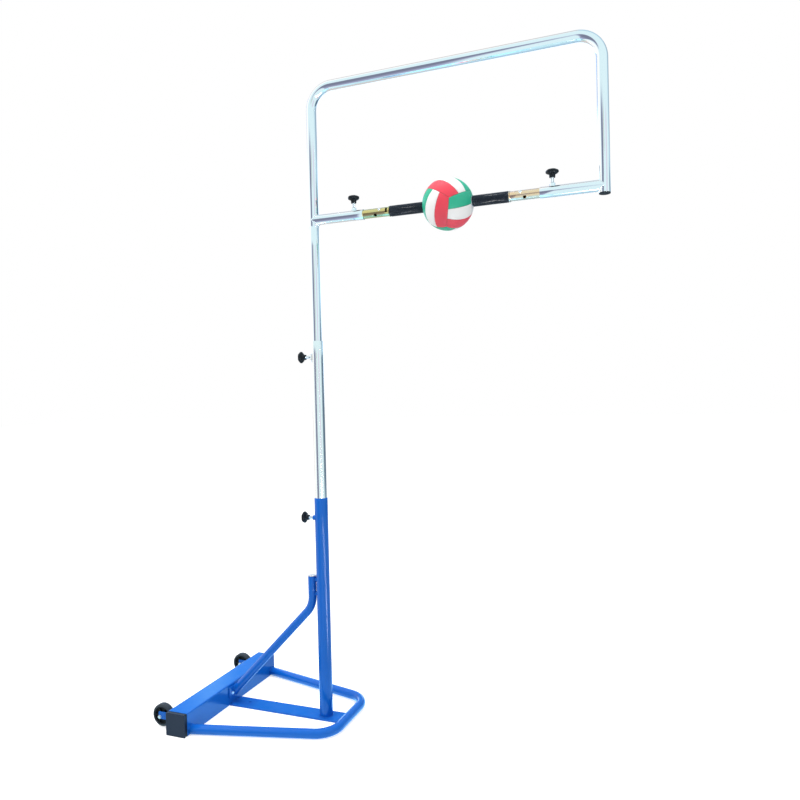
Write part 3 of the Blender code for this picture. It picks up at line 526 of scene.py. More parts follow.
class Finishes:
    """Every material of the scene, made when it is first asked for."""

    BLUE = Finish("gloss_blue_powder_coat", Slot.BLUE_PAINT, (0.003, 0.110, 0.500),
                  (0.004, 0.120, 0.535), 0.17, 0.03, specular=0.32, drift_scale=3.0, grain=320.0,
                  depth=0.000012, wear=0.35, worn=(0.05, 0.20, 0.60), dust=0.02)
    CHROME = Finish("bright_chrome_plate", Slot.CHROME, (0.90, 0.94, 0.96), (0.86, 0.91, 0.94),
                    0.07, 0.02, 1.0, grain=45.0, stretch=(1.0, 1.0, 0.08), depth=0.000006)
    CHROME_BAR = replace(
        CHROME, name="bright_chrome_plate_on_arms", roughness=0.10, stretch=(0.08, 1.0, 1.0))
    ZINC = Finish(
        "satin_zinc_plate", Slot.ZINC, (0.93, 0.95, 0.95), (0.88, 0.91, 0.91), 0.17, 0.04, 1.0,
        drift_scale=9.0, grain=260.0, stretch=(1.0, 1.0, 0.03), depth=0.000003)
    FASTENER = Finish("bright_zinc_fasteners", Slot.ZINC, (0.90, 0.93, 0.95), (0.84, 0.87, 0.90),
                      0.30, 0.05, 1.0, drift_scale=60.0, depth=0.000002)
    YELLOW_ZINC = PassivatedZinc(
        "yellow_passivated_zinc", Slot.YELLOW_ZINC, (0.82, 0.62, 0.24), (0.76, 0.60, 0.28), 0.18,
        0.05, 1.0, drift_scale=38.0, grain=300.0, stretch=(0.1, 1.0, 1.0), depth=0.000004)
    BLACK = Finish(
        "moulded_black_nylon", Slot.BLACK_PLASTIC, (0.006, 0.009, 0.012), (0.009, 0.012, 0.016),
        0.40, 0.05, specular=0.20, grain=1500.0, depth=0.00001, wear=0.12, worn=(0.05, 0.06, 0.08),
        dust=0.005)
    RUBBER = Finish(
        "solid_black_rubber", Slot.RUBBER, (0.016, 0.024, 0.036), (0.021, 0.030, 0.043), 0.50, 0.08,
        drift_scale=30.0, grain=1200.0, depth=0.00004, wear=0.2, worn=(0.07, 0.08, 0.09), dust=0.03)
    SLATE = Finish(
        "moulded_slate_plastic", Slot.SLATE_PLASTIC, (0.013, 0.022, 0.046), (0.016, 0.027, 0.054),
        0.42, 0.06, specular=0.28, grain=1500.0, depth=0.00004, wear=0.3, worn=(0.10, 0.13, 0.18),
        dust=0.015)
    GREY = Finish("moulded_pale_grey_plastic", Slot.GREY_PLASTIC, (0.56, 0.58, 0.59),
                  (0.50, 0.52, 0.54), 0.45, 0.06, grain=1500.0, dust=0.05)
    IRON = Finish("raw_cast_iron", Slot.CAST_IRON, (0.10, 0.095, 0.09), (0.16, 0.12, 0.09), 0.75,
                  0.1, 0.4, drift_scale=25.0, grain=500.0, depth=0.0004)
    SPRING = Finish(
        "black_coated_spring_steel", Slot.SPRING, (0.009, 0.014, 0.024), (0.012, 0.018, 0.031),
        0.38, specular=0.30, grain=500.0, depth=0.00001, wear=0.12, worn=(0.09, 0.11, 0.15))
    BALL_WHITE = PanelLeather(
        "white_ball_leather", Slot.BALL, (0.83, 0.83, 0.82), (0.78, 0.79, 0.79), 0.42, 0.06,
        grain=2400.0, depth=0.00012)
    BALL_RED = replace(BALL_WHITE, name="red_ball_leather", colour=(0.78, 0.060, 0.095),
                       drift=(0.71, 0.050, 0.080))
    BALL_GREEN = replace(BALL_WHITE, name="green_ball_leather", colour=(0.022, 0.44, 0.27),
                         drift=(0.018, 0.38, 0.23))
    SEAM = Finish("ball_carcass_in_the_seams", Slot.BALL, (0.20, 0.19, 0.18), (0.14, 0.13, 0.13),
                  0.7, depth=0.0001)

    def __init__(self) -> None:
        """Build the shared effects."""
        self.effects = SurfaceEffects()
        self.made: dict[str, bpy.types.Material] = {}

    def get(self, finish: Finish) -> bpy.types.Material:
        """Return a finish's material.

        Args:
            finish: the surface that is wanted.

        Returns:
            Its one material.
        """
        if finish.name not in self.made:
            self.made[finish.name] = finish.material(self.effects)
        return self.made[finish.name]


def fillet(corners: Sequence[Vector], radius: float, step: float = FILLET_STEP) -> list[Vector]:
    """Round the corners of a line.

    Args:
        corners: the line's corner points.
        radius: largest radius of a corner.
        step: largest angle between two points of a corner.

    Returns:
        The points of the rounded line.
    """
    points = [corners[0]]
    for start, corner, end in zip(corners, corners[1:], corners[2:]):
        before, after = start - corner, end - corner
        turn = math.pi - before.angle(after)
        slope = math.tan(turn / 2)
        reach = min(radius * slope, 0.46 * before.length, 0.46 * after.length)
        into, out = -before.normalized(), after.normalized()
        normal = (out - into * into.dot(out)).normalized()
        size = reach / slope
        centre = corner - into * reach + normal * size
        steps = max(2, math.ceil(turn / step))
        for place in range(steps + 1):
            angle = turn * place / steps
            points.append(centre + (into * math.sin(angle) - normal * math.cos(angle)) * size)
    return [*points, corners[-1]]


def round_angles(sides: int) -> list[float]:
    """Angles of points evenly spaced round a circle."""
    return [FULL_TURN * side / sides for side in range(sides)]


def rounded_box_outline(width: float, height: float, corner: float, steps: int = 4) -> list[Pair]:
    """Outline of a rectangle with round corners and a support point beside each.

    Args:
        width: size along the first axis.
        height: size along the second axis.
        corner: corner radius.
        steps: faces in each corner.

    Returns:
        Points in order round the outline.
    """
    points: list[Pair] = []
    support = min(0.3 * corner, 0.1 * min(width, height) / 2)
    across, up = width / 2 - corner, height / 2 - corner
    for quarter, (side, lift) in enumerate(((1, 1), (-1, 1), (-1, -1), (1, -1))):
        start = math.pi / 2 * quarter
        arc = [start + math.pi / 2 * place / steps for place in range(steps + 1)]
        curve = [
            (side * across + corner * math.cos(a), lift * up + corner * math.sin(a)) for a in arc]
        first, last = curve[0], curve[-1]
        points.append((first[0] + support * math.sin(start), first[1] - support * math.cos(start)))
        points.extend(curve)
        points.append((last[0] - support * math.cos(start), last[1] - support * math.sin(start)))
    return points


def path_frames(path: Sequence[Vector]) -> list[tuple[Vector, Vector, Vector, Vector]]:
    """Frames that follow a path without twisting.

    Args:
        path: the centre line.

    Returns:
        (point, tangent, normal, binormal) at each point.
    """
    frames: list[tuple[Vector, Vector, Vector, Vector]] = []
    normal: Vector | None = None
    for index, point in enumerate(path):
        before = path[max(index - 1, 0)]
        after = path[min(index + 1, len(path) - 1)]
        into = (point - before).normalized() if index else (after - point).normalized()
        out = (after - point).normalized() if index < len(path) - 1 else into
        tangent = (into + out).normalized()
        if normal is None:
            normal = tangent.orthogonal().normalized()
        normal = (normal - tangent * normal.dot(tangent)).normalized()
        frames.append((point, tangent, normal, tangent.cross(normal)))
    return frames


class Body:
    """A closed mesh under construction, drawn from the mast axis."""

    def __init__(self) -> None:
        """Start with no faces."""
        self.bm = bmesh.new()

    def skin(self, rings: Sequence[Sequence[Vector]], closed: bool = False) -> "Body":
        """Join rings of points with faces; a ring of one point is a pole.

        Args:
            rings: rings of equal length, in order.
            closed: whether the last ring joins the first, or else both get a cap.

        Returns:
            This body.
        """
        rows = [[self.bm.verts.new(point) for point in ring] for ring in rings]
        pairs = list(zip(rows, rows[1:]))
        if closed:
            pairs.append((rows[-1], rows[0]))
        made: list[bmesh.types.BMFace] = []
        for low, high in pairs:
            count = max(len(low), len(high))
            for index in range(count):
                after = (index + 1) % count
                corners = [low[index % len(low)], low[after % len(low)],
                           high[after % len(high)], high[index % len(high)]]
                made.append(self.bm.faces.new(list(dict.fromkeys(corners))))
        if not closed:
            made.extend(self.bm.faces.new(row) for row in (rows[0], rows[-1]) if len(row) > 1)
        bmesh.ops.recalc_face_normals(self.bm, faces=made)
        return self

    def raw(self, name: str) -> bpy.types.Mesh:
        """Turn the body into a plain mesh where it was drawn.

        Args:
            name: the mesh's name.

        Returns:
            The mesh; the body is used up.
        """
        mesh = bpy.data.meshes.new(name)
        self.bm.to_mesh(mesh)
        self.bm.free()
        return mesh

    def mesh(self, name: str) -> bpy.types.Mesh:
        """Turn the body into a smooth mesh at the frame's place; it is used up."""
        return smooth(self.shift(MAST_AT).raw(name))

    def join(self, other: "Body") -> "Body":
        """Add another body's shells to this one.

        Args:
            other: the body that is added and used up.

        Returns:
            This body.
        """
        mesh = other.raw("joined")
        self.bm.from_mesh(mesh)
        bpy.data.meshes.remove(mesh)
        return self

    def shift(self, offset: Sequence[float]) -> "Body":
        """Move the body and return it."""
        bmesh.ops.translate(self.bm, verts=self.bm.verts, vec=Vector(offset))
        return self

    def place(self, start: Sequence[float], axis: Sequence[float]) -> "Body":
        """Turn +Z at the origin to an axis through a start point.

        Args:
            start: where the origin goes.
            axis: where +Z goes.

        Returns:
            This body.
        """
        turn = Z.rotation_difference(Vector(axis)).to_matrix().to_4x4()
        self.bm.transform(Matrix.Translation(Vector(start)) @ turn)
        return self

    def mirror_x(self, middle: float) -> "Body":
        """Mirror the body about a plane across X.

        Args:
            middle: the plane's x.

        Returns:
            This body.
        """
        for vert in self.bm.verts:
            vert.co.x = 2 * middle - vert.co.x
        bmesh.ops.reverse_faces(self.bm, faces=self.bm.faces)
        return self

    def saddle(self, below: float, radius: float, along: Vector) -> "Body":
        """Drop the points below a height onto a tube that crosses under the body.

        Args:
            below: height that separates the foot from the rest.
            radius: the tube's radius, with its axis through the origin.
            along: the tube's direction.

        Returns:
            This body.
        """
        across = Z.cross(along)
        for vert in self.bm.verts:
            if vert.co.z < below:
                offset = min(abs(vert.co.dot(across)), radius)
                vert.co.z += math.sqrt(radius ** 2 - offset ** 2) - radius
        return self

    def cut(self, tool: "Body") -> "Body":
        """Cut this body with another by an exact Boolean.

        Args:
            tool: the cutter, which is used up.

        Returns:
            This body.
        """
        holders = [link("boolean", body.raw("boolean")) for body in (self, tool)]
        modifier = holders[0].modifiers.new("cut", "BOOLEAN")
        modifier.object, modifier.operation, modifier.solver = holders[1], "DIFFERENCE", "EXACT"
        graph = bpy.context.evaluated_depsgraph_get()
        self.bm = bmesh.new()
        self.bm.from_mesh(bpy.data.meshes.new_from_object(holders[0].evaluated_get(graph)))
        for holder in holders:
            bpy.data.objects.remove(holder, do_unlink=True)
        return self


def smooth(mesh: bpy.types.Mesh) -> bpy.types.Mesh:
    """Shade a mesh smooth apart from its sharp edges.

    Args:
        mesh: the mesh.

    Returns:
        The same mesh.
    """
    mesh.shade_smooth()
    mesh.set_sharp_from_angle(angle=SMOOTH_ANGLE)
    return mesh


def turned(profile: Sequence[Sequence[float]], sides: int = FITTING_SIDES, lobes: int = 0) -> Body:
    """Body turned about +Z, whose radius may swell in lobes.

    Args:
        profile: (along, radius) points, with the lobes' height third where there are
            any; it closes on itself unless it starts on the axis.
        sides: faces round the axis.
        lobes: number of lobes.

    Returns:
        The body.
    """
    rings = []
    for along, radius, *swell in profile:
        ring = []
        for a in round_angles(sides) if radius > TINY else [0.0]:
            size = radius + sum(swell) * math.cos(lobes * a)
            ring.append(Vector((size * math.cos(a), size * math.sin(a), along)))
        rings.append(ring)
    return Body().skin(rings, closed=profile[0][1] > TINY)


def dome(low: float, high: float, radius: float, steps: int) -> list[Pair]:
    """Quarter round of a lathe profile, from its rim's next point to the axis.

    Args:
        low: height of the rim.
        high: height of the top.
        radius: radius of the rim.
        steps: number of points.

    Returns:
        (along, radius) points.
    """
    angles = [math.pi / 2 * step / steps for step in range(1, steps)]
    curve = [(low + (high - low) * math.sin(a), radius * math.cos(a)) for a in angles]
    return curve + [(high, 0.0)]


def hex_fastener(flats: float, height: float, washer: float) -> Body:
    """Hexagon head with a chamfered crown on a flat washer.

    Args:
        flats: width across the flats.
        height: head height above the washer.
        washer: washer radius.

    Returns:
        The body, standing on +Z.
    """
    thick, sides = 0.0012, 48
    disc = [Vector((along, radius, 0.0)) for along, radius in (
        (0.0, 0.0), (0.0, washer), (thick, washer), (thick, 0.0))]
    body = turned([point.xy for point in fillet(disc, 0.0003)], sides)
    sixth = FULL_TURN / 6
    crown, top = 0.94 * flats / 2, thick + height
    rings: list[list[Vector]] = [[], [], []]
    for a in round_angles(sides):
        reach = flats / 2 / math.cos((a + sixth / 2) % sixth - sixth / 2)
        heights = (thick - HAIR, top - 0.55 * (reach - crown), top)
        for ring, size, along in zip(rings, (reach, reach, crown), heights):
            ring.append(Vector((size * math.cos(a), size * math.sin(a), along)))
    poles = [[Vector((0.0, 0.0, along - HAIR))] for along in (thick, top)]
    return body.join(Body().skin([poles[0], *rings, poles[1]]))


def threaded_bar(start: float, end: float, radius: float, pitch: float) -> Body:
    """Round bar along +Z with a helical thread and chamfered ends.

    Args:
        start: height of the lower end.
        end: height of the upper end.
        radius: outer radius.
        pitch: thread pitch.

    Returns:
        The body.
    """
    depth, sides = 0.30 * pitch, 24
    steps = max(8, round((end - start) / pitch * 6))
    rings: list[list[Vector]] = [[Vector((0.0, 0.0, start))]]
    for step in range(steps + 1):
        along = start + (end - start) * step / steps
        near_end = min(along - start, end - along, depth) / depth
        ring = []
        for side in range(sides):
            angle = FULL_TURN * side / sides
            phase = (along / pitch - side / sides) % 1.0
            groove = depth * min(1.0, 1.6 * abs(2 * phase - 1.0))
            size = radius - max(groove, depth * (1.0 - near_end))
            ring.append(Vector((size * math.cos(angle), size * math.sin(angle), along)))
        rings.append(ring)
    rings.append([Vector((0.0, 0.0, end))])
    return Body().skin(rings)


def tube(path: Sequence[Vector], radius: float, bore: float, lip: float = 0.0005) -> Body:
    """Round tube along a path, open at both ends, with rounded lips.

    Args:
        path: centre line.
        radius: outer radius.
        bore: inner radius.
        lip: radius of the ends' edges.

    Returns:
        The body.
    """
    frames = path_frames(path)
    last = len(frames) - 1

    def ring(index: int, size: float, shift: float = 0.0) -> list[Vector]:
        """Circle of points round one of the path's points.

        Args:
            index: which of the path's points.
            size: the circle's radius.
            shift: how far it is moved along the path.

        Returns:
            The points.
        """
        point, tangent, normal, binormal = frames[index]
        centre = point + tangent * shift
        return [centre + (normal * math.cos(a) + binormal * math.sin(a)) * size
                for a in round_angles(TUBE_SIDES)]

    soft = lip * 0.3
    edge = [(radius - lip, 0.0), (radius - soft, soft), (radius, lip)]
    rings = [ring(0, size, shift) for size, shift in edge]
    rings += [ring(index, radius) for index in range(1, last)]
    rings += [ring(last, size, -shift) for size, shift in reversed(edge)]
    rings += [ring(last, bore + lip), ring(last, bore, -lip)]
    rings += [ring(index, bore) for index in range(last - 1, 0, -1)]
    rings += [ring(0, bore, lip), ring(0, bore + lip)]
    return Body().skin(rings, closed=True)


def straight(start: Sequence[float], end: Sequence[float], count: int = 3) -> list[Vector]:
    """Points along a straight line.

    Args:
        start: first point.
        end: last point.
        count: number of points.

    Returns:
        The points.
    """
    first, last = Vector(start), Vector(end)
    return [first.lerp(last, place / (count - 1)) for place in range(count)]


def slab(width: float, height: float, length: float, edge: float, centre: Sequence[float],
         axes: tuple[Vector, Vector, Vector] = (Y, Z, X)) -> Body:
    """Flat bar or plate with all its edges rounded.

    Args:
        width: size along the first axis.
        height: size along the second axis.
        length: size along the third axis.
        edge: radius of every edge.
        centre: middle of the slab.
        axes: directions of width, height and length.

    Returns:
        The body.
    """
    across, up, along = axes
    middle = Vector(centre)
    steps = 3
    stations: list[Pair] = []
    for step in range(steps + 1):
        angle = math.pi / 2 * step / steps
        stations.append((edge * (1 - math.sin(angle)), -length / 2 + edge * (1 - math.cos(angle))))
    stations.append((0.0, -length / 2 + 1.4 * edge))
    stations += [(inset, -place) for inset, place in reversed(stations)]
    stations = [(2.0 * edge, -length / 2), *stations, (2.0 * edge, length / 2)]
    rings = []
    for inset, place in stations:
        outline = rounded_box_outline(width - 2 * inset, height - 2 * inset, edge * 1.01)
        rings.append([middle + across * u + up * v + along * place for u, v in outline])
    return Body().skin(rings)


class Recipe:
    """A Geometry Nodes tree with named inputs, run once and kept as a plain mesh."""

    def __init__(self, name: str, inputs: dict[str, str]) -> None:
        """Make the tree and its interface.

        Args:
            name: the tree's name.
            inputs: input name to short socket type.
        """
        self.tree = bpy.data.node_groups.new(name, "GeometryNodeTree")
        add_socket = self.tree.interface.new_socket
        for label, kind in {"Geometry": "Geometry", **inputs, "Finish": "Material"}.items():
            add_socket(label, in_out="INPUT", socket_type="NodeSocket" + kind)
        add_socket("Geometry", in_out="OUTPUT", socket_type="NodeSocketGeometry")
        self.graph = Graph(self.tree)
        self.source = self.graph.add("NodeGroupInput").outputs

    def chance(self, low: float, high: float) -> bpy.types.NodeSocket:
        """Add a random number for each point, from the recipe's Seed input.

        Args:
            low: least number.
            high: greatest number.

        Returns:
            The number's socket.
        """
        span = {"Min_001": low, "Max_001": high, "Seed": self.source["Seed"]}
        node = self.graph.add("FunctionNodeRandomValue", span, data_type="FLOAT")
        return self.graph.out(node, "Value_001")

    def close(self, geometry: Any) -> None:
        """End the tree in Realize Instances and Set Material.

        Args:
            geometry: the node or socket of the finished geometry.
        """
        add = self.graph.add
        real = add("GeometryNodeRealizeInstances", {"Geometry": geometry})
        painted = add("GeometryNodeSetMaterial", {
            "Geometry": real, "Material": self.source["Finish"]})
        add("NodeGroupOutput", {"Geometry": painted})

    def bake(self, values: dict[str, Any], mesh: bpy.types.Mesh | None = None) -> bpy.types.Mesh:
        """Run the tree and return its result.

        Args:
            values: input name to value.
            mesh: the mesh that the tree starts from.

        Returns:
            A new plain mesh.
        """
        holder = link("recipe", mesh or bpy.data.meshes.new("recipe"))
        modifier = holder.modifiers.new("recipe", "NODES")
        modifier.node_group = self.tree
        for item in self.tree.interface.items_tree:
            if item.in_out == "INPUT" and item.name in values:
                modifier[item.identifier] = values[item.name]
        graph = bpy.context.evaluated_depsgraph_get()
        result = bpy.data.meshes.new_from_object(holder.evaluated_get(graph))
        bpy.data.objects.remove(holder, do_unlink=True)
        return smooth(result)


class CoilRecipe(Recipe):
    """Close-wound coil spring along +X, with its end turns drawn together."""

    def __init__(self) -> None:
        """Draw the tree: a spiral, its pitch eased at the ends, and a round wire."""
        super().__init__("coil_spring", {
            "Coil Radius": "Float", "Wire Radius": "Float", "Coil Length": "Float",
            "Turns": "Float", "End Closing": "Float", "Start": "Vector"})
        add, math_node, source = self.graph.add, self.graph.math, self.source
        spiral = add("GeometryNodeCurveSpiral", {
            "Resolution": 28, "Rotations": source["Turns"], "Start Radius": source["Coil Radius"],
            "End Radius": source["Coil Radius"], "Height": source["Coil Length"]})
        share = add("GeometryNodeSplineParameter").outputs["Factor"]
        wave = math_node("SINE", math_node("MULTIPLY", share, FULL_TURN))
        size = math_node("MULTIPLY", source["Coil Length"], source["End Closing"])
        pull = math_node("MULTIPLY", wave, math_node("DIVIDE", size, -FULL_TURN))
        offset = add("ShaderNodeCombineXYZ", {"Z": pull})
        eased = add("GeometryNodeSetPosition", {"Geometry": spiral, "Offset": offset})
        wire = add("GeometryNodeCurvePrimitiveCircle", {
            "Resolution": 12, "Radius": source["Wire Radius"]})
        solid = add("GeometryNodeCurveToMesh", {
            "Curve": eased, "Profile Curve": wire, "Fill Caps": True})
        self.close(add("GeometryNodeTransform", {
            "Geometry": solid, "Translation": source["Start"],
            "Rotation": (0.0, math.pi / 2, 0.0)}))


class BeadRecipe(Recipe):
    """Weld bead: overlapping ripples along the edges of a line mesh."""

    def __init__(self) -> None:
        """Draw the tree: the lines resampled, with a flattened drop at each point."""
        super().__init__("weld_bead", {
            "Bead Radius": "Float", "Ripple Pitch": "Float", "Seed": "Int"})
        add, source = self.graph.add, self.source
        line = add("GeometryNodeMeshToCurve", {"Mesh": source["Geometry"]})
        evenly = add("GeometryNodeResampleCurve", {
            "Curve": line, "Length": source["Ripple Pitch"]}, mode="LENGTH")
        along = add("FunctionNodeAlignRotationToVector", {
            "Vector": add("GeometryNodeInputTangent")}, axis="Z")
        size = self.graph.math("MULTIPLY", self.chance(0.86, 1.12), source["Bead Radius"])
        flat = self.graph.math("MULTIPLY", size, 0.62)
        self.close(add("GeometryNodeInstanceOnPoints", {
            "Points": evenly, "Rotation": along,
            "Instance": add("GeometryNodeMeshIcoSphere", {"Radius": 1.0, "Subdivisions": 3}),
            "Scale": add("ShaderNodeCombineXYZ", {"X": size, "Y": size, "Z": flat})}))


class FastenerRecipe(Recipe):
    """One fastener repeated at the points of a mesh, all facing one way."""

    def __init__(self) -> None:
        """Draw the tree: the fastener on every point, each spun at random."""
        super().__init__("fasteners", {"Fastener": "Object", "Facing": "Vector", "Seed": "Int"})
        add, source = self.graph.add, self.source
        model = add("GeometryNodeObjectInfo", {"Object": source["Fastener"]})
        facing = add("FunctionNodeAlignRotationToVector", {"Vector": source["Facing"]}, axis="Z")
        turn = add("FunctionNodeAxisAngleToRotation", {
            "Axis": (0.0, 0.0, 1.0), "Angle": self.chance(0.0, 1.0)})
        both = add("FunctionNodeRotateRotation", {
            "Rotation": facing, "Rotate By": turn}, rotation_space="LOCAL")
        self.close(add("GeometryNodeInstanceOnPoints", {
            "Points": source["Geometry"], "Instance": model.outputs["Geometry"], "Rotation": both}))


class SpokeRecipe(Recipe):
    """Ribs that stand round an axis along +Y."""

    def __init__(self) -> None:
        """Draw the tree: one rib on each point of a circle, turned outwards."""
        super().__init__("wheel_ribs", {
            "Rib": "Object", "Rib Count": "Int", "Ring Radius": "Float", "Centre": "Vector"})
        add, source = self.graph.add, self.source
        circle = add("GeometryNodeMeshCircle", {
            "Vertices": source["Rib Count"], "Radius": source["Ring Radius"]})
        model = add("GeometryNodeObjectInfo", {"Object": source["Rib"]})
        facing = add("FunctionNodeAlignRotationToVector", {
            "Vector": add("GeometryNodeInputPosition")}, axis="X")
        ring = add("GeometryNodeInstanceOnPoints", {
            "Points": circle, "Instance": model.outputs["Geometry"], "Rotation": facing})
        self.close(add("GeometryNodeTransform", {
            "Geometry": ring, "Translation": source["Centre"],
            "Rotation": (math.pi / 2, 0.0, 0.0)}))


class Workshop:
    """What every sub-assembly shares: the finishes and the repeating recipes."""

    def __init__(self) -> None:
        """Build the finishes and recipes."""
        self.finishes = Finishes()
        self.coil = CoilRecipe()
        self.bead = BeadRecipe()
        self.fasteners = FastenerRecipe()
        self.spokes = SpokeRecipe()

    def show(self, name: str, shape: Body | bpy.types.Mesh, finish: Finish, body: str | None,
             *stands_for: str) -> bpy.types.Object:
        """Make a piece of the scene and hang it on a CAD body.

        Args:
            name: the piece's name.
            shape: a body, or a mesh already at the frame's place.
            finish: its surface.
            body: the CAD body it rides on, or None to hang it on none.
            stands_for: the CAD nodes it replaces.

        Returns:
            The piece.
        """
        mesh = shape.mesh(name) if isinstance(shape, Body) else shape
        mesh.name = name
        mesh.materials.clear()
        mesh.materials.append(self.finishes.get(finish))
        piece = link(name, mesh)
        if body:
            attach(piece, body)
        if stands_for:
            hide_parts(*stands_for)
        LOG.info("%s: %d faces, %s", name, len(mesh.polygons), finish.name)
        return piece

    def dress(self, finish: Finish, *nodes: str) -> None:
        """Give carried-over CAD nodes a procedural material.

        Args:
            finish: their surface.
            nodes: names of CAD nodes.
        """
        for name in nodes:
            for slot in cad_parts[name].material_slots:
                slot.material = self.finishes.get(finish)
            LOG.info("%s: CAD solid kept, %s", name, finish.name)

    def repeat(self, recipe: Recipe, label: str, body: Body, values: dict[str, Any],
               finish: Finish, points: bpy.types.Mesh | None = None) -> bpy.types.Mesh:
        """Repeat a shape with a recipe.

        Args:
            recipe: the recipe that repeats it.
            label: the recipe's input that takes the shape.
            body: the shape, standing on +Z at the origin.
            values: the recipe's other inputs.
            finish: the surface.
            points: the mesh that the recipe starts from.

        Returns:
            A mesh of all of them.
        """
        model = bpy.data.objects.new("model", body.raw("model"))
        mesh = recipe.bake({label: model, **values, "Finish": self.finishes.get(finish)}, points)
        bpy.data.objects.remove(model, do_unlink=True)
        return mesh

    def weld(self, name: str, body: str, lines: Sequence[Sequence[Vector]], radius: float,
             seed: int, finish: Finish = Finishes.BLUE) -> None:
        """Lay weld beads along lines and show them as one piece.

        Args:
            name: the piece's name.
            body: the CAD body that it rides on.
            lines: each bead's points; a closed bead repeats its first point.
            radius: bead radius.
            seed: seed of the ripples' sizes.
            finish: the beads' surface.
        """
        points: list[Vector] = []
        edges: list[tuple[int, int]] = []
        for line in lines:
            first = len(points)
            points += [point + MAST_AT for point in line]
            edges += [(index, index + 1) for index in range(first, len(points) - 1)]
        mesh = bpy.data.meshes.new("bead_lines")
        mesh.from_pydata(points, edges, [])
        beads = self.bead.bake({
            "Bead Radius": radius, "Ripple Pitch": 0.42 * radius, "Seed": seed,
            "Finish": self.finishes.get(finish)}, mesh)
        self.show(name, beads, finish, body)


def ring_line(centre: Sequence[float], radius: float, first: Vector, second: Vector,
              steps: int = 40) -> list[Vector]:
    """Closed circle of points, or an ellipse where the directions aren't unit vectors.

    Args:
        centre: middle of the circle.
        radius: its radius.
        first: direction at angle 0.
        second: direction at a quarter turn.
        steps: number of points.

    Returns:
        The points, with the first repeated at the end.
    """
    angles = [FULL_TURN * step / steps for step in range(steps + 1)]
    return [Vector(centre) + (first * math.cos(a) + second * math.sin(a)) * radius for a in angles]


@dataclass
class BallastBeam:
    """Square beam across the back, its iron bar and its moulded end plugs."""

    shop: Workshop
    size: float = 0.095
    wall: float = 0.004
    corner: float = 0.005
    plug_corner: float = 0.004
    length: float = 0.680
    front: float = -0.465
    flange_thick: float = 0.005
    neck: float = 0.013
    neck_inset: float = 0.0024
    dish: float = 0.0012
    insert_length: float = 0.020
    lip: float = 0.0006

    @property
    def middle(self) -> Vector:
        """Middle of the beam."""
        return Vector((self.front - self.size / 2, 0.0, self.size / 2))

    def squares(
            self, stations: Sequence[Sequence[float]], way: int = 1, closed: bool = False) -> Body:
        """Join rounded squares along the beam's axis.

        Args:
            stations: size, distance from the beam's middle and, if it isn't a plug's,
                corner radius of each square.
            way: 1 for the far end, -1 for the near one.
            closed: whether the last square joins the first.

        Returns:
            The body.
        """
        rings = []
        for size, along, *corner in stations:
            outline = rounded_box_outline(size, size, *(corner or [self.plug_corner]), 5)
            rings.append([self.middle + X * u + Z * v + Y * (way * along) for u, v in outline])
        return Body().skin(rings, closed)

    def shell(self) -> Body:
        """Square tube with round corners and eased ends.

        Returns:
            The body.
        """
        half, lip, corner = self.length / 2, self.lip, self.corner
        bore, inner = self.size - 2 * self.wall, corner - self.wall / 2
        ends = [(self.size - 2 * lip, half, corner), (bore, half, inner), (bore, -half, inner)]
        run = [(self.size, along, corner) for along in (
            lip - half, 3 * lip - half, half - 3 * lip, half - lip)]
        return self.squares([(self.size - 2 * lip, -half, corner), *run, *ends], closed=True)

    def insert(self, side: Side) -> Body:
        """Part of a plug inside the tube; the near one runs out to its flange.

        Args:
            side: the beam's end.

        Returns:
            The body.
        """
        half = self.length / 2
        inside = self.size - 2 * self.wall - 2 * GAP
        start = half - self.insert_length
        if side is Side.NEAR:
            step, end = half + GAP, half + self.neck
            outer = self.size - self.neck_inset
            rest = [
                (inside, step), (outer - 0.0012, step), (outer, step + 0.0006),
                (outer, end - 0.0008), (outer - 0.0020, end + HAIR), (inside - 0.0100, end + HAIR)]
        else:
            end = half - GAP
            sunk = end - self.dish
            rest = [
                (inside, end - 0.0010), (inside - 0.0006, end - 0.0003), (inside - 0.0020, end),
                (inside - 0.0120, end), (inside - 0.0136, sunk), (inside - 0.0300, sunk)]
        return self.squares([(inside - 0.004, start), (inside, start + 0.004), *rest], side.value)

    def flange(self) -> Body:
        """Flange that stands off the near end, with a dished face.

        Returns:
            The body.
        """
        start = self.length / 2 + self.neck
        end = start + self.flange_thick
        size = self.size
        return self.squares([
            (size - 0.0016, start), (size - 0.0003, start + 0.0005), (size, start + 0.0012),
            (size, end - 0.0016), (size - 0.0009, end - 0.0005), (size - 0.0028, end),
            (size - 0.0110, end), (size - 0.0124, end - 0.0008), (size - 0.0200, end - 0.0009)],
            Side.NEAR.value)

    def build(self) -> None:
        """Show the beam and its plugs, and dress the bar inside."""
        show = self.shop.show
        show("beam_shell", self.shell(), Finishes.BLUE, "base", "ballast_beam")
        show("beam_plug_near", self.flange(), Finishes.SLATE, "base", "end_plug_near")
        # The near neck is shown in black, darker than the slate flange: painted shade in the gap
        # behind the flange.
        show("beam_plug_neck", self.insert(Side.NEAR), Finishes.BLACK, "base")
        show("beam_plug_far", self.insert(Side.FAR), Finishes.SLATE, "base", "end_plug_far")
        self.shop.dress(Finishes.IRON, "ballast_bar")


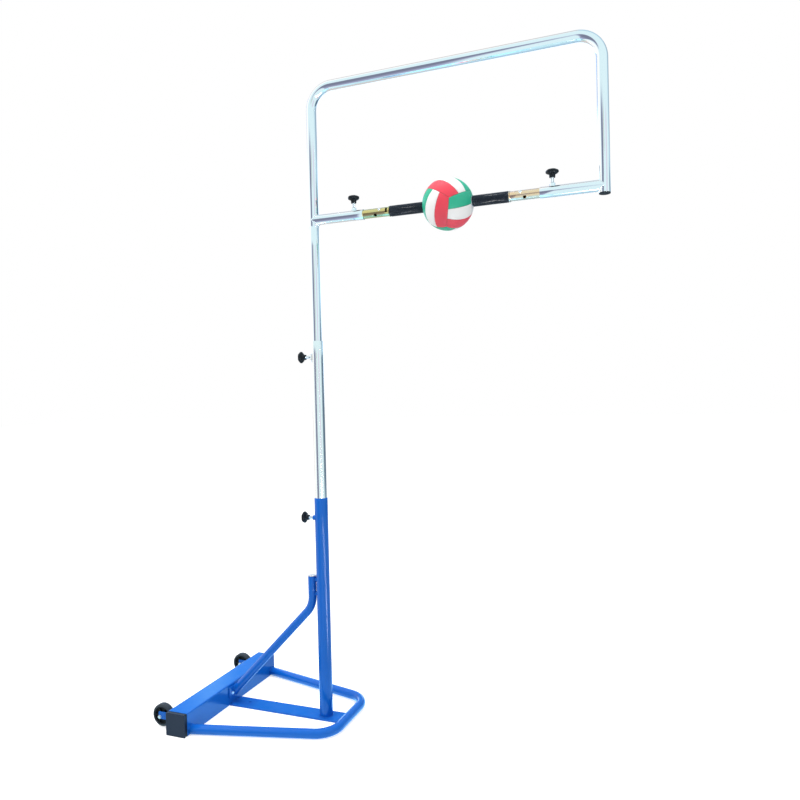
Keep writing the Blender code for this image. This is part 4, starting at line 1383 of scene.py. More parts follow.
@dataclass
class FloorFrame:
    """Round loop that lies on the floor and the flat strip down its middle."""

    shop: Workshop
    radius: float = 0.020
    bore: float = 0.018
    back_half: float = 0.315
    front_half: float = 0.172
    front_x: float = 0.111
    bend: float = 0.100
    beam_front: float = -0.465
    let_in: float = 0.003
    strip_width: float = 0.085
    strip_thick: float = 0.008
    hole_x: float = -0.3885
    hole_y: float = 0.005
    hole_radius: float = 0.0055
    sunk: float = 0.0008
    bead: float = 0.0018

    @property
    def strip_end(self) -> float:
        """The x at which the strip meets the front of the loop."""
        drop = self.radius - self.strip_thick
        return self.front_x - math.sqrt(self.radius ** 2 - drop ** 2)

    def loop(self) -> Body:
        """Bent tube whose ends run into the beam's front wall.

        Returns:
            The body.
        """
        slope = (self.back_half - self.front_half) / (self.front_x - self.beam_front)
        back = (self.beam_front - self.let_in, self.back_half + slope * self.let_in)
        front = (self.front_x, self.front_half)
        corners = [Vector((x, way * half, self.radius)) for x, half, way in (
            (*back, -1), (*front, -1), (*front, 1), (*back, 1))]
        return tube(fillet(corners, self.bend, BEND_STEP), self.radius, self.bore)

    def strip(self) -> Body:
        """Flat bar with a drilled and countersunk hole.

        Returns:
            The body.
        """
        start, end = self.beam_front - 0.001, self.strip_end + 0.001
        centre = ((start + end) / 2, 0.0, self.strip_thick / 2)
        bar = slab(self.strip_width, self.strip_thick, end - start, 0.0009, centre)
        size, top = self.hole_radius, self.strip_thick
        hole = [(-0.002, 0.0), (-0.002, size), (top - self.sunk, size),
                (top + 0.001, size + self.sunk + 0.001), (top + 0.001, 0.0)]
        return bar.cut(turned(hole, 32).place((self.hole_x, self.hole_y, 0.0), Z))

    def weld_lines(self) -> list[list[Vector]]:
        """Lines of the beads where the loop and strip meet the beam and each other.

        Returns:
            The points of each line.
        """
        lines = []
        for side in Side:
            ring = ring_line((self.beam_front + 0.0008, side.value * self.back_half, self.radius),
                             self.radius + 0.0004, Y * 1.03, Z)
            lines += [ring[2:19], [point for point in ring[-19:-2] if point.z > 0.004]]
        half, top = self.strip_width / 2 - 0.003, self.strip_thick + 0.0004
        lines += [straight((x, -half, top), (x, half, top), 8)
                  for x in (self.beam_front + 0.001, self.strip_end - 0.0005)]
        return lines

    def build(self) -> None:
        """Show the loop, the strip and their welds."""
        show = self.shop.show
        show("loop_tube", self.loop(), Finishes.BLUE, "base", "floor_loop")
        show("spine_strip", self.strip(), Finishes.BLUE, "base", "centre_strip")
        self.shop.weld("floor_frame_welds", "base", self.weld_lines(), self.bead, 3)


@dataclass
class LowerMast:
    """Blue mast tube, welded to the strip."""

    shop: Workshop
    radius: float = 0.0285
    bore: float = 0.0260
    foot: float = 0.008
    top: float = 0.950

    def build(self) -> None:
        """Show the tube and the weld round its foot."""
        path = straight((0.0, 0.0, self.foot), (0.0, 0.0, self.top), 12)
        mast = tube(path, self.radius, self.bore, 0.0007)
        self.shop.show("mast_tube_lower", mast, Finishes.BLUE, "base", "lower_mast")
        foot = ring_line((0.0, 0.0, self.foot + 0.0006), self.radius + 0.0006, X, Y, 64)
        self.shop.weld("mast_foot_weld", "base", [foot], 0.0017, 5)


@dataclass
class Brace:
    """Slanting tube from the beam to the mast, its cap, lugs, plate and bolts."""

    shop: Workshop
    radius: float = 0.018
    bore: float = 0.016
    foot_z: float = 0.0525
    x: float = -0.053
    knee_z: float = 0.478
    top: float = 0.609
    bend: float = 0.100
    cap_radius: float = 0.0190
    cap_rim: float = 0.0022
    dome: float = 0.0055
    cap_insert: float = 0.014
    lug_heights: Pair = (0.533, 0.594)
    lug_width: float = 0.014
    lug_height: float = 0.011
    mast_radius: float = 0.0285
    beam_front: float = -0.465
    plate_thick: float = 0.005
    plate_width: float = 0.100
    plate_low: float = 0.036
    plate_high: float = 0.083
    bolt_y: float = 0.0265
    bolt_z: float = 0.0535

    @property
    def face(self) -> float:
        """The x of the plate's front face."""
        return self.beam_front + GAP + self.plate_thick

    @property
    def knee(self) -> Vector:
        """Where the axis would turn upright if it weren't bent round."""
        return Vector((self.x, 0.0, self.knee_z))

    @property
    def foot(self) -> Vector:
        """Where the brace's axis meets the beam's front."""
        return Vector((self.beam_front, 0.0, self.foot_z))

    @property
    def rise(self) -> Vector:
        """Direction of the brace's slanting run."""
        return (self.knee - self.foot).normalized()

    def pipe(self) -> Body:
        """Bent tube cut to the plate's face, and level at the plate's lower edge.

        Returns:
            The body.
        """
        corners = [
            self.foot - self.rise * 2 * self.radius, self.knee, Vector((self.x, 0.0, self.top))]
        body = tube(fillet(corners, self.bend, BEND_STEP), self.radius, self.bore)
        wall = slab(0.2, 0.3, 0.1, 0.001, (self.face - 0.0006 - 0.05, 0.0, 0.06))
        under = slab(0.2, 0.1, 0.1, 0.001, (self.face, 0.0, self.plate_low - 0.05))
        return body.cut(wall).cut(under)

    def cap(self) -> Body:
        """Moulded cap with a thin flange, a low dome and a plug in the tube.

        Returns:
            The body.
        """
        bore, size, rim = self.bore - GAP, self.cap_radius, self.cap_rim
        low = -self.cap_insert
        profile = [(low, 0.0), (low, bore - 0.001), (low + 0.002, bore), (GAP, bore),
                   (GAP, size - 0.0004), (2 * GAP, size), (rim - 0.0003, size),
                   (rim, size - 0.0003), *dome(rim, self.dome, size - 0.0008, 8)]
        return turned(profile).place((self.x, 0.0, self.top), Z)

    def lug(self, height: float) -> Body:
        """Short block between the brace and the mast.

        Args:
            height: the block's middle.

        Returns:
            The body.
        """
        start, end = self.x + self.radius - 0.002, -self.mast_radius + 0.002
        return slab(
            self.lug_width, self.lug_height, end - start, 0.0008, ((start + end) / 2, 0.0, height))

    def weld_lines(self) -> list[list[Vector]]:
        """Lines of the beads at the brace's foot and round both lugs.

        Returns:
            The points of each line.
        """
        lean = self.rise.x
        centre = self.foot + self.rise * ((self.face - self.beam_front) / lean)
        upper = self.plate_low + 0.0004
        oval = ring_line((self.face + 0.0006, 0.0, centre.z), self.radius + 0.0008, Y, Z / lean, 56)
        lines = [[point for point in oval[:-1][41:] + oval[:-1][:41] if point.z > upper]]
        w, h = self.lug_width / 2, self.lug_height / 2
        corners = ((-w, -h), (-w, h), (w, h), (w, -h), (-w, -h))
        for height in self.lug_heights:
            for axis_x, size, way in ((0.0, self.mast_radius, -1), (self.x, self.radius, 1)):
                lines.append([Vector((axis_x + way * math.sqrt(size ** 2 - y ** 2), y, height + z))
                              for y, z in corners])
        return lines

    def build(self) -> None:
        """Show every piece of the brace."""
        show = self.shop.show
        show("brace_pipe", self.pipe(), Finishes.BLUE, "base", "brace_tube")
        show("brace_dome_cap", self.cap(), Finishes.GREY, "base", "brace_cap")
        for word, height in zip(("low", "high"), self.lug_heights):
            lug = self.lug(height)
            show("brace_tab_" + word, lug, Finishes.BLUE, "base", "brace_lug_" + word)
        size = self.plate_high - self.plate_low
        centre = (self.beam_front + GAP + self.plate_thick / 2, 0.0,
                  (self.plate_low + self.plate_high) / 2)
        plate = slab(self.plate_width, size, self.plate_thick, 0.0010, centre)
        show("brace_foot_plate", plate, Finishes.BLUE, "base", "brace_plate")
        points = bpy.data.meshes.new("places")
        points.from_pydata([Vector((self.face, side.value * self.bolt_y, self.bolt_z)) + MAST_AT
                            for side in Side], [], [])
        bolts = self.shop.repeat(
            self.shop.fasteners, "Fastener", hex_fastener(0.0112, 0.0030, 0.0070),
            {"Facing": X, "Seed": 4}, Finishes.FASTENER, points)
        show("brace_bolts", bolts, Finishes.FASTENER, "base", "plate_bolt_near", "plate_bolt_far")
        self.shop.weld("brace_welds", "base", self.weld_lines(), 0.0016, 7)


@dataclass
class TransportWheels:
    """Two small wheels behind the beam, each in a bent-plate fork."""

    shop: Workshop
    x: float = -0.621
    y: float = 0.295
    z: float = 0.0515
    radius: float = 0.0468
    half: float = 0.015
    tyre_bore: float = 0.0375
    groove: float = 0.0008
    groove_at: float = 0.0066
    hub_radius: float = 0.0372
    axle: float = 0.0040
    fork_half: float = 0.025
    fork_bend: float = 0.0055
    plate: float = 0.004
    low: float = 0.009
    high: float = 0.021
    end: float = 0.0065
    low_corner: float = 0.007
    high_corner: float = 0.003
    ribs: int = 6
    rib_ring: float = 0.0222
    beam_back: float = -0.560

    @staticmethod
    def symmetric(half: Sequence[Pair], centre: Vector) -> Body:
        """Turn a profile and its mirror image about a wheel's axis.

        Args:
            half: (along, radius) points of one half.
            centre: the wheel's middle.

        Returns:
            The body.
        """
        other = [(-along, size) for along, size in reversed(half) if along]
        return turned([*half, *other], 72).place(centre, Y)

    def tyre(self, centre: Vector) -> Body:
        """Solid tyre with a crowned tread, two grooves and eased sidewalls.

        Args:
            centre: the wheel's middle.

        Returns:
            The body.
        """
        r, h, at, groove = self.radius, self.half, self.groove_at, self.groove
        return self.symmetric([
            (-h, self.tyre_bore), (-h, r - 0.0056), (-h + 0.0005, r - 0.0048),
            (-h + 0.0005, r - 0.0040), (-h + 0.0014, r - 0.0026), (-h + 0.0032, r - 0.0009),
            (-h + 0.0050, r - 0.0001), (-at - groove, r), (-at, r - groove), (-at + groove, r),
            (0.0, r)], centre)

    def hub(self, centre: Vector) -> Body:
        """Hub with a rim, a thin web and an axle boss on each side.

        Args:
            centre: the wheel's middle.

        Returns:
            The body.
        """
        h = self.half
        return self.symmetric([
            (h, self.axle + 0.00015), (h, 0.0105), (h - 0.0006, 0.0111), (0.0060, 0.0120),
            (0.0050, 0.0130), (0.0050, 0.0315), (0.0060, 0.0324), (h - 0.0026, 0.0330),
            (h - 0.0020, 0.0336), (h - 0.0020, self.hub_radius)], centre)

    def spokes(self, centre: Vector) -> bpy.types.Mesh:
        """Ribs from the axle boss to the rim.

        Args:
            centre: the wheel's middle.

        Returns:
            A mesh of all of them.
        """
        rib = slab(2 * self.half - 0.0060, 0.0036, 0.0230, 0.0005, (0.0, 0.0, 0.0), (Z, Y, X))
        values = {"Rib Count": self.ribs, "Ring Radius": self.rib_ring, "Centre": centre + MAST_AT}
        return self.shop.repeat(self.shop.spokes, "Rib", rib, values, Finishes.BLACK)

    def fork(self, side_y: float) -> Body:
        """Flat plate bent into a U, with its free corners rounded.

        Args:
            side_y: the y of the wheel's middle.

        Returns:
            The plate.
        """
        end_x = self.x - self.end
        mid = self.fork_half - self.plate / 2
        back = self.beam_back - GAP - self.plate / 2
        corners = [Vector((x, side_y + way * mid, self.z)) for x, way in (
            (end_x, -1), (back, -1), (back, 1), (end_x, 1))]
        line = fillet(corners, self.fork_bend, math.radians(15.0))
        steps = 9
        runs = [self.low_corner * (1 - math.cos(math.pi / 2 * step / steps))
                for step in range(1, steps + 1)]
        path = [line[0] + X * run for run in runs] + line[1:-1]
        path += [line[-1] + X * run for run in reversed(runs)]
        rings = []
        for point, tangent, _normal, _binormal in path_frames(path):
            low, high = (size - self.eased(point.x - end_x, corner) for size, corner in (
                (self.low, self.low_corner), (self.high, self.high_corner)))
            across = Z.cross(tangent)
            outline = rounded_box_outline(self.plate, low + high, 0.0006, 2)
            lift = Z * (high - low) / 2
            rings.append([point + lift + across * u + Z * v for u, v in outline])
        return Body().skin(rings)

    @staticmethod
    def eased(free: float, corner: float) -> float:
        """How far a round corner pulls the edge in at a distance from the free end."""
        reach = max(corner - free, 0.0)
        return corner - math.sqrt(max(corner ** 2 - reach ** 2, 0.0))

    def axle_set(self, centre: Vector) -> Body:
        """Axle with spacer collars, hexagon heads and washers outside the fork.

        Args:
            centre: the wheel's middle.

        Returns:
            The body.
        """
        near, far = self.half + GAP, self.fork_half - self.plate - GAP
        end = self.fork_half + GAP
        bar = turned([(-end, 0.0), (-end, self.axle), (end, self.axle), (end, 0.0)], 24)
        bar.place(centre, Y)
        spacer = [(near, self.axle - HAIR), (near, 0.0066), (near + 0.0004, 0.0070),
                  (far - 0.0004, 0.0070), (far, 0.0066), (far, self.axle - HAIR)]
        for way in (-1, 1):
            bar.join(turned(spacer, 32).place(centre, Y * way))
            head = hex_fastener(0.0126, 0.0038, 0.0075)
            bar.join(head.place(centre + Y * (way * (end - 0.0001)), Y * way))
        return bar

    def build(self) -> None:
        """Show both wheels with their forks."""
        show = self.shop.show
        for side in Side:
            centre, word = Vector((self.x, side.value * self.y, self.z)), side.word
            wheel = "wheel_" + word
            show("fork_plate_" + word, self.fork(centre.y), Finishes.BLUE, "base", "fork_" + word)
            axle = self.axle_set(centre)
            show("axle_bolt_" + word, axle, Finishes.FASTENER, "base", "axle_" + word)
            show("wheel_tyre_" + word, self.tyre(centre), Finishes.RUBBER, wheel, "tyre_" + word)
            show("wheel_hub_" + word, self.hub(centre), Finishes.BLACK, wheel, "hub_" + word)
            show("wheel_ribs_" + word, self.spokes(centre), Finishes.BLACK, wheel)
            low, high = self.z - self.low + 0.002, self.z + self.high - 0.002
            x = self.beam_back - 0.0004
            edges = [centre.y + way * (self.fork_half - 0.0020) for way in (-1, 1)]
            lines = [straight((x, edge, low), (x, edge, high), 4) for edge in edges]
            self.shop.weld("fork_weld_" + word, "base", lines, 0.0016, 11)


@dataclass
class MiddleMast:
    """Zinc-plated tube that slides in the lower mast, with its rivet."""

    shop: Workshop
    radius: float = 0.0255
    bore: float = 0.0230
    foot: float = 0.620
    top: float = 1.624
    rivet: float = 0.0036
    rivet_z: float = 1.590
    rivet_turn: float = math.radians(52.0)

    def build(self) -> None:
        """Show the tube and its rivet, and dress the nylon parts inside."""
        path = straight((0.0, 0.0, self.foot), (0.0, 0.0, self.top), 14)
        mast = tube(path, self.radius, self.bore, 0.0007)
        self.shop.show("mast_tube_middle", mast, Finishes.ZINC, "middle_mast", "middle_tube")
        out = Vector((math.sin(self.rivet_turn), -math.cos(self.rivet_turn), 0.0))
        rivet = rivet_head(self.radius, self.rivet, Z, out).shift((0.0, 0.0, self.rivet_z))
        self.shop.show("mast_rivet", rivet, Finishes.FASTENER, "middle_mast", "middle_rivet")
        self.shop.dress(Finishes.BLACK, "middle_liner", "middle_glide_ring")


def on_tube(profile: Sequence[Pair], tube_radius: float, tube_axis: Vector, out: Vector,
            foot: float) -> Body:
    """Turned fitting whose foot follows the round of the tube it stands on.

    Args:
        profile: (height above the tube's surface, radius) points.
        tube_radius: the tube's radius.
        tube_axis: the tube's direction.
        out: the way that the fitting points.
        foot: points below this height follow the tube.

    Returns:
        The fitting, with the tube's axis through the origin.
    """
    turn = Z.rotation_difference(out)
    body = turned(profile, 32).saddle(foot, tube_radius, turn.inverted() @ tube_axis)
    return body.place(out * tube_radius, out)


def rivet_head(tube_radius: float, radius: float, tube_axis: Vector, out: Vector) -> Body:
    """Domed rivet head on a tube, on its axis at the origin.

    Args:
        tube_radius: the tube's radius.
        radius: the head's radius.
        tube_axis: the tube's direction.
        out: the way that the head points.

    Returns:
        The head.
    """
    rise = 0.45 * radius
    profile = [
        (-0.0012, 0.0), (-0.0012, radius), (0.1 * rise, radius), *dome(0.1 * rise, rise, radius, 7)]
    return on_tube(profile, tube_radius, tube_axis, out, rise * 0.3)


@dataclass
class UprightFrame:
    """Chromed tube bent into the frame, with its two arms and the leg's plug."""

    shop: Workshop
    radius: float = 0.0212
    bore: float = 0.0192
    foot: float = 1.360
    top: float = 2.700
    span: float = 1.200
    bend: float = 0.095
    leg_foot: float = 2.112
    arm_z: float = 2.140
    arm_end: float = 0.235
    let_in: float = 0.0012
    joint: tuple[Pair, ...] = (
        (-0.0013, -HAIR), (-0.0010, 0.0004), (-0.0004, 0.0008), (0.0002, 0.0008),
        (0.0008, 0.0004), (0.0011, -HAIR))

    def hoop(self) -> Body:
        """The bent tube above the arms.

        Returns:
            The body.
        """
        corners = [Vector((x, 0.0, z)) for x, z in (
            (0.0, self.leg_foot), (0.0, self.top), (self.span, self.top),
            (self.span, self.leg_foot))]
        return tube(fillet(corners, self.bend, BEND_STEP / 2), self.radius, self.bore)

    def post(self) -> Body:
        """The straight tube that slides in the mast."""
        path = straight((0.0, 0.0, self.foot), (0.0, 0.0, self.leg_foot - GAP), 10)
        return tube(path, self.radius, self.bore)

    def joint_ring(self) -> Body:
        """Dressed weld round the joint of the post and the hoop."""
        profile = [(along, self.radius + out) for along, out in self.joint]
        return turned(profile, TUBE_SIDES).place((0.0, 0.0, self.leg_foot), Z)

    def reach(self, y: float) -> float:
        """How far the upright's front stands from its axis, at a distance to the side."""
        return math.sqrt(max(self.radius ** 2 - y ** 2, 0.0))

    def arm(self, hand: Hand) -> Body:
        """Arm whose root runs into the upright's wall.

        Args:
            hand: which of the arms.

        Returns:
            The body.
        """
        start = (self.radius - self.let_in, 0.0, self.arm_z)
        body = tube(
            straight(start, (self.arm_end, 0.0, self.arm_z), 5), self.radius, self.bore, 0.0006)
        for vert in body.bm.verts:
            if vert.co.x < self.radius + 0.001:
                vert.co.x = max(self.reach(vert.co.y) - self.let_in, 0.0)
        return body if hand is Hand.LEFT else body.mirror_x(self.span / 2)

    def saddle_line(self, hand: Hand) -> list[Vector]:
        """Line where an arm meets its upright.

        Args:
            hand: which of the arms.

        Returns:
            The line's points.
        """
        points = []
        for place in ring_line((0.0, 0.0, self.arm_z), self.radius + 0.0004, Y, Z, 72):
            x = self.reach(place.y) + 0.0006
            points.append(Vector((x if hand is Hand.LEFT else self.span - x, place.y, place.z)))
        return points

    def plug(self) -> Body:
        """Moulded plug in the free leg's end.

        Returns:
            The body.
        """
        inner = self.bore - 2 * GAP
        profile = [(0.015, 0.0), (0.015, inner - 0.0008), (0.0138, inner), (-GAP, inner),
                   (-GAP, self.radius - 0.0003), (-0.0007, self.radius),
                   (-0.0028, self.radius), (-0.0033, self.radius - 0.0006), (-0.0035, 0.0200),
                   (-0.0035, 0.0140), (-0.0029, 0.0132), (-0.0029, 0.0)]
        return turned(profile).place((self.span, 0.0, self.leg_foot), Z)

    def build(self) -> None:
        """Show the frame, its arms, their welds and the plug."""
        show, weld = self.shop.show, self.shop.weld
        show("frame_hoop", self.hoop(), Finishes.CHROME, "frame", "frame_tube")
        show("frame_post", self.post(), Finishes.CHROME, "frame", "frame_upright")
        show("frame_joint_ring", self.joint_ring(), Finishes.CHROME, "frame")
        for hand in Hand:
            arm = "arm_" + hand.word
            show("arm_tube_" + hand.word, self.arm(hand), Finishes.CHROME_BAR, "frame", arm)
        lines = [self.saddle_line(hand) for hand in Hand]
        weld("arm_welds", "frame", lines, 0.0015, 13, Finishes.CHROME)
        under = [line[46:63] for line in lines]
        weld("arm_weld_tacks", "frame", under, 0.0030, 17, Finishes.CHROME)
        show("leg_end_plug", self.plug(), Finishes.BLACK, "frame", "leg_plug")
        self.shop.dress(Finishes.BLACK, "frame_glide_ring")


@dataclass(frozen=True)
class ClampSite:
    """Where one clamp stands.

    Attributes:
        word: the clamp's name, as the CAD nodes spell it.
        carrier: body that carries its boss.
        centre: point on the tube's axis.
        out: the way that it points.
        along: the tube's direction.
        outer: the outer tube's radius.
        inner: the inner tube's radius.
        finish: the boss's surface.
    """

    word: str
    carrier: str
    centre: Vector
    out: Vector
    along: Vector
    outer: float
    inner: float
    finish: Finish


@dataclass
class Clamps:
    """Four clamp screws with lobed knobs."""

    shop: Workshop
    lobes: int = 6
    radius: float = 0.0241
    swell: float = 0.0008
    low: float = 0.0438
    high: float = 0.0620
    collar: float = 0.0305
    boss_radius: float = 0.0108
    boss_height: float = 0.0098
    stud: float = 0.0058
    pitch: float = 0.0015
    tip: float = 0.0022
    arm_z: float = 2.140
    arm_x: float = 0.189
    span: float = 1.200

    def sites(self) -> list[ClampSite]:
        """The four places, from the floor up.

        Returns:
            The places.
        """
        arms = {"left": self.arm_x, "right": self.span - self.arm_x}
        return [
            ClampSite("lower", "base", Z * 0.8625, -X, Z, 0.0285, 0.0255, Finishes.BLUE),
            ClampSite("middle", "middle_mast", Z * 1.5566, -X, Z, 0.0255, 0.0212, Finishes.ZINC),
            *(ClampSite(word, "frame", Vector((x, 0.0, self.arm_z)), Z, X, 0.0212, 0.0189,
                        Finishes.CHROME_BAR) for word, x in arms.items())]

    def knob(self) -> Body:
        """Lobed head with a domed top, a hollow underside and a tapered collar.

        Returns:
            The body.
        """
        low, high, r, s, base = self.low, self.high, self.radius, self.swell, self.collar
        profile = [
            (base + 0.0008, 0.0), (base + 0.0008, 0.0070), (base, 0.0078), (base, 0.0101),
            (base + 0.0003, 0.0107), (base + 0.0010, 0.0112), (low - 0.0034, 0.0118),
            (low - 0.0012, 0.0126), (low - 0.0002, 0.0142, 0.1 * s),
            (low + 0.0008, 0.0166, 0.3 * s), (low + 0.0019, 0.0190, 0.6 * s),
            (low + 0.0031, 0.0210, 0.8 * s), (low + 0.0045, 0.0225, s),
            (low + 0.0060, r - 0.0003, s), (low + 0.0074, r, s), (high - 0.0070, r - 0.0001, s),
            (high - 0.0056, r - 0.0008, s), (high - 0.0042, r - 0.0021, s),
            (high - 0.0029, r - 0.0040, 0.9 * s), (high - 0.0017, r - 0.0064, 0.7 * s),
            (high - 0.0008, r - 0.0090, 0.4 * s), (high - 0.0002, 0.0123, 0.2 * s), (high, 0.0106),
            (high - 0.0005, 0.0101), (high - 0.0005, 0.0092), (high - 0.0001, 0.0060), (high, 0.0)]
        return turned(profile, 96, self.lobes)

    def boss(self, site: ClampSite) -> Body:
        """Turned boss on the tube, with eased edges and a hole for the screw.

        Args:
            site: the clamp's place.

        Returns:
            The boss, with the tube's axis through the origin.
        """
        bore, r, top = self.stud + 0.0003, self.boss_radius, self.boss_height
        profile = [(0.0, bore), (0.0, r + 0.0007), (0.0008, r + 0.0002), (0.0016, r),
                   (top - 0.0008, r), (top, r - 0.0008), (top, bore + 0.0006), (top - 0.0006, bore)]
        return on_tube(profile, site.outer + HAIR, site.along, site.out, 0.0005)

    def build(self) -> None:
        """Show every clamp."""
        show = self.shop.show
        for site in self.sites():
            word, body = site.word, "knob_" + site.word
            boss = self.boss(site).shift(site.centre)
            show("clamp_collar_" + word, boss, site.finish, site.carrier, "clamp_boss_" + word)
            begin = site.inner + self.tip + 0.0006
            end = site.outer + self.collar + 0.004
            screw = threaded_bar(begin, end, self.stud, self.pitch).place(site.centre, site.out)
            show("clamp_screw_" + word, screw, Finishes.FASTENER, body, "clamp_stud_" + word)
            head = self.knob().place(site.centre + site.out * site.outer, site.out)
            show("clamp_head_" + word, head, Finishes.BLACK, body, "clamp_knob_" + word)
            self.shop.dress(Finishes.YELLOW_ZINC, "clamp_tip_" + word)


@dataclass
class SpringLine:
    """Sleeves that slide in the arms, and the two springs that hold the ball."""

    shop: Workshop
    z: float = 2.140
    middle: float = 0.600
    radius: float = 0.0189
    bore: float = 0.0164
    inner_end: float = 0.165
    outer_end: float = 0.349
    hole_x: float = 0.292
    hole_size: float = 0.0120
    hole_turn: float = math.radians(-40.0)
    rivet_x: float = 0.309
    rivet_radius: float = 0.0070
    rivet_turn: float = math.radians(35.0)
    slot_x: float = 0.3405
    slot_width: float = 0.0085
    slot_low: float = -0.006
    seat_radius: float = 0.0215
    flange: float = 0.004
    coil_radius: float = 0.0200
    wire: float = 0.0020
    turns: float = 30.6
    end_closing: float = 0.08
    washer_face: float = 0.1010

    @staticmethod
    def around(turn: float) -> Vector:
        """Direction out of a sleeve's front, turned up from the horizontal."""
        return Vector((0.0, -math.cos(turn), math.sin(turn)))

    def sleeve(self, slotted: bool) -> Body:
        """Left sleeve with its square hole and, by the spring, its slot.

        Args:
            slotted: whether the slot is cut.

        Returns:
            The sleeve.
        """
        path = straight((self.inner_end, 0.0, self.z), (self.outer_end, 0.0, self.z), 8)
        body = tube(path, self.radius, self.bore)
        out, size = self.around(self.hole_turn), self.hole_size
        centre = Vector((self.hole_x, 0.0, self.z)) + out * 0.02
        body.cut(slab(size, size, 0.03, 0.0006, centre, (X, out.cross(X), out)))
        if not slotted:
            return body
        height = self.radius + 0.010 - self.slot_low
        centre = Vector((self.slot_x, -self.radius, self.z + self.slot_low + height / 2))
        return body.cut(slab(self.slot_width, height, 2 * self.radius, 0.0005, centre, (X, Z, Y)))

    def seat(self) -> Body:
        """Flanged cup that the spring stands on.

        Returns:
            The body.
        """
        inner, size, face = self.bore - GAP, self.seat_radius, GAP + self.flange
        profile = [(-0.0035, 0.008), (-0.0035, inner - 0.0006), (-0.0029, inner), (GAP, inner),
                   (GAP, size - 0.0005), (GAP + 0.0005, size), (face - 0.0005, size),
                   (face, size - 0.0005), (face, 0.0086), (face - 0.0006, 0.008)]
        return turned(profile).place((self.outer_end, 0.0, self.z), X)

    def spring(self, hand: Hand) -> bpy.types.Mesh:
        """One coil, from its seat to the ball's washer.

        Args:
            hand: which of the springs.

        Returns:
            Its mesh.
        """
        start = self.outer_end + 2 * GAP + self.flange + self.wire
        end = self.middle - self.washer_face - GAP - self.wire
        body = Body()
        body.bm.from_mesh(self.shop.coil.bake({
            "Coil Radius": self.coil_radius, "Wire Radius": self.wire,
            "Coil Length": end - start, "Turns": self.turns, "End Closing": self.end_closing,
            "Start": Vector((start, 0.0, self.z)) + MAST_AT,
            "Finish": self.shop.finishes.get(Finishes.SPRING)}))
        body.shift(-MAST_AT)
        if hand is Hand.RIGHT:
            body.mirror_x(self.middle)
        return body.mesh("spring")

    def build(self) -> None:
        """Show the sleeves, rivets, seats and springs."""
        show = self.shop.show
        up = self.around(self.rivet_turn)
        for hand in Hand:
            word, way = hand.word, hand.value
            rivet = rivet_head(self.radius, self.rivet_radius, X, up)
            rivet.shift((self.rivet_x, 0.0, self.z))
            shapes = [self.sleeve(hand is Hand.LEFT), rivet, self.seat()]
            pieces = (("sleeve_tube_", Finishes.YELLOW_ZINC, "sleeve_"),
                      ("sleeve_rivet_head_", Finishes.FASTENER, "sleeve_rivet_"),
                      ("spring_cup_", Finishes.YELLOW_ZINC, "spring_seat_"))
            for shape, (name, finish, node) in zip(shapes, pieces):
                if hand is Hand.RIGHT:
                    shape.mirror_x(self.middle)
                show(name + word, shape, finish, "sleeves", node + word)
            coil = show(
                "spring_coil_" + word, self.spring(hand), Finishes.SPRING, None, "spring_" + word)
            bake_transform(coil)
        self.shop.dress(Finishes.BLACK, "sleeve_ring_left", "sleeve_ring_right")


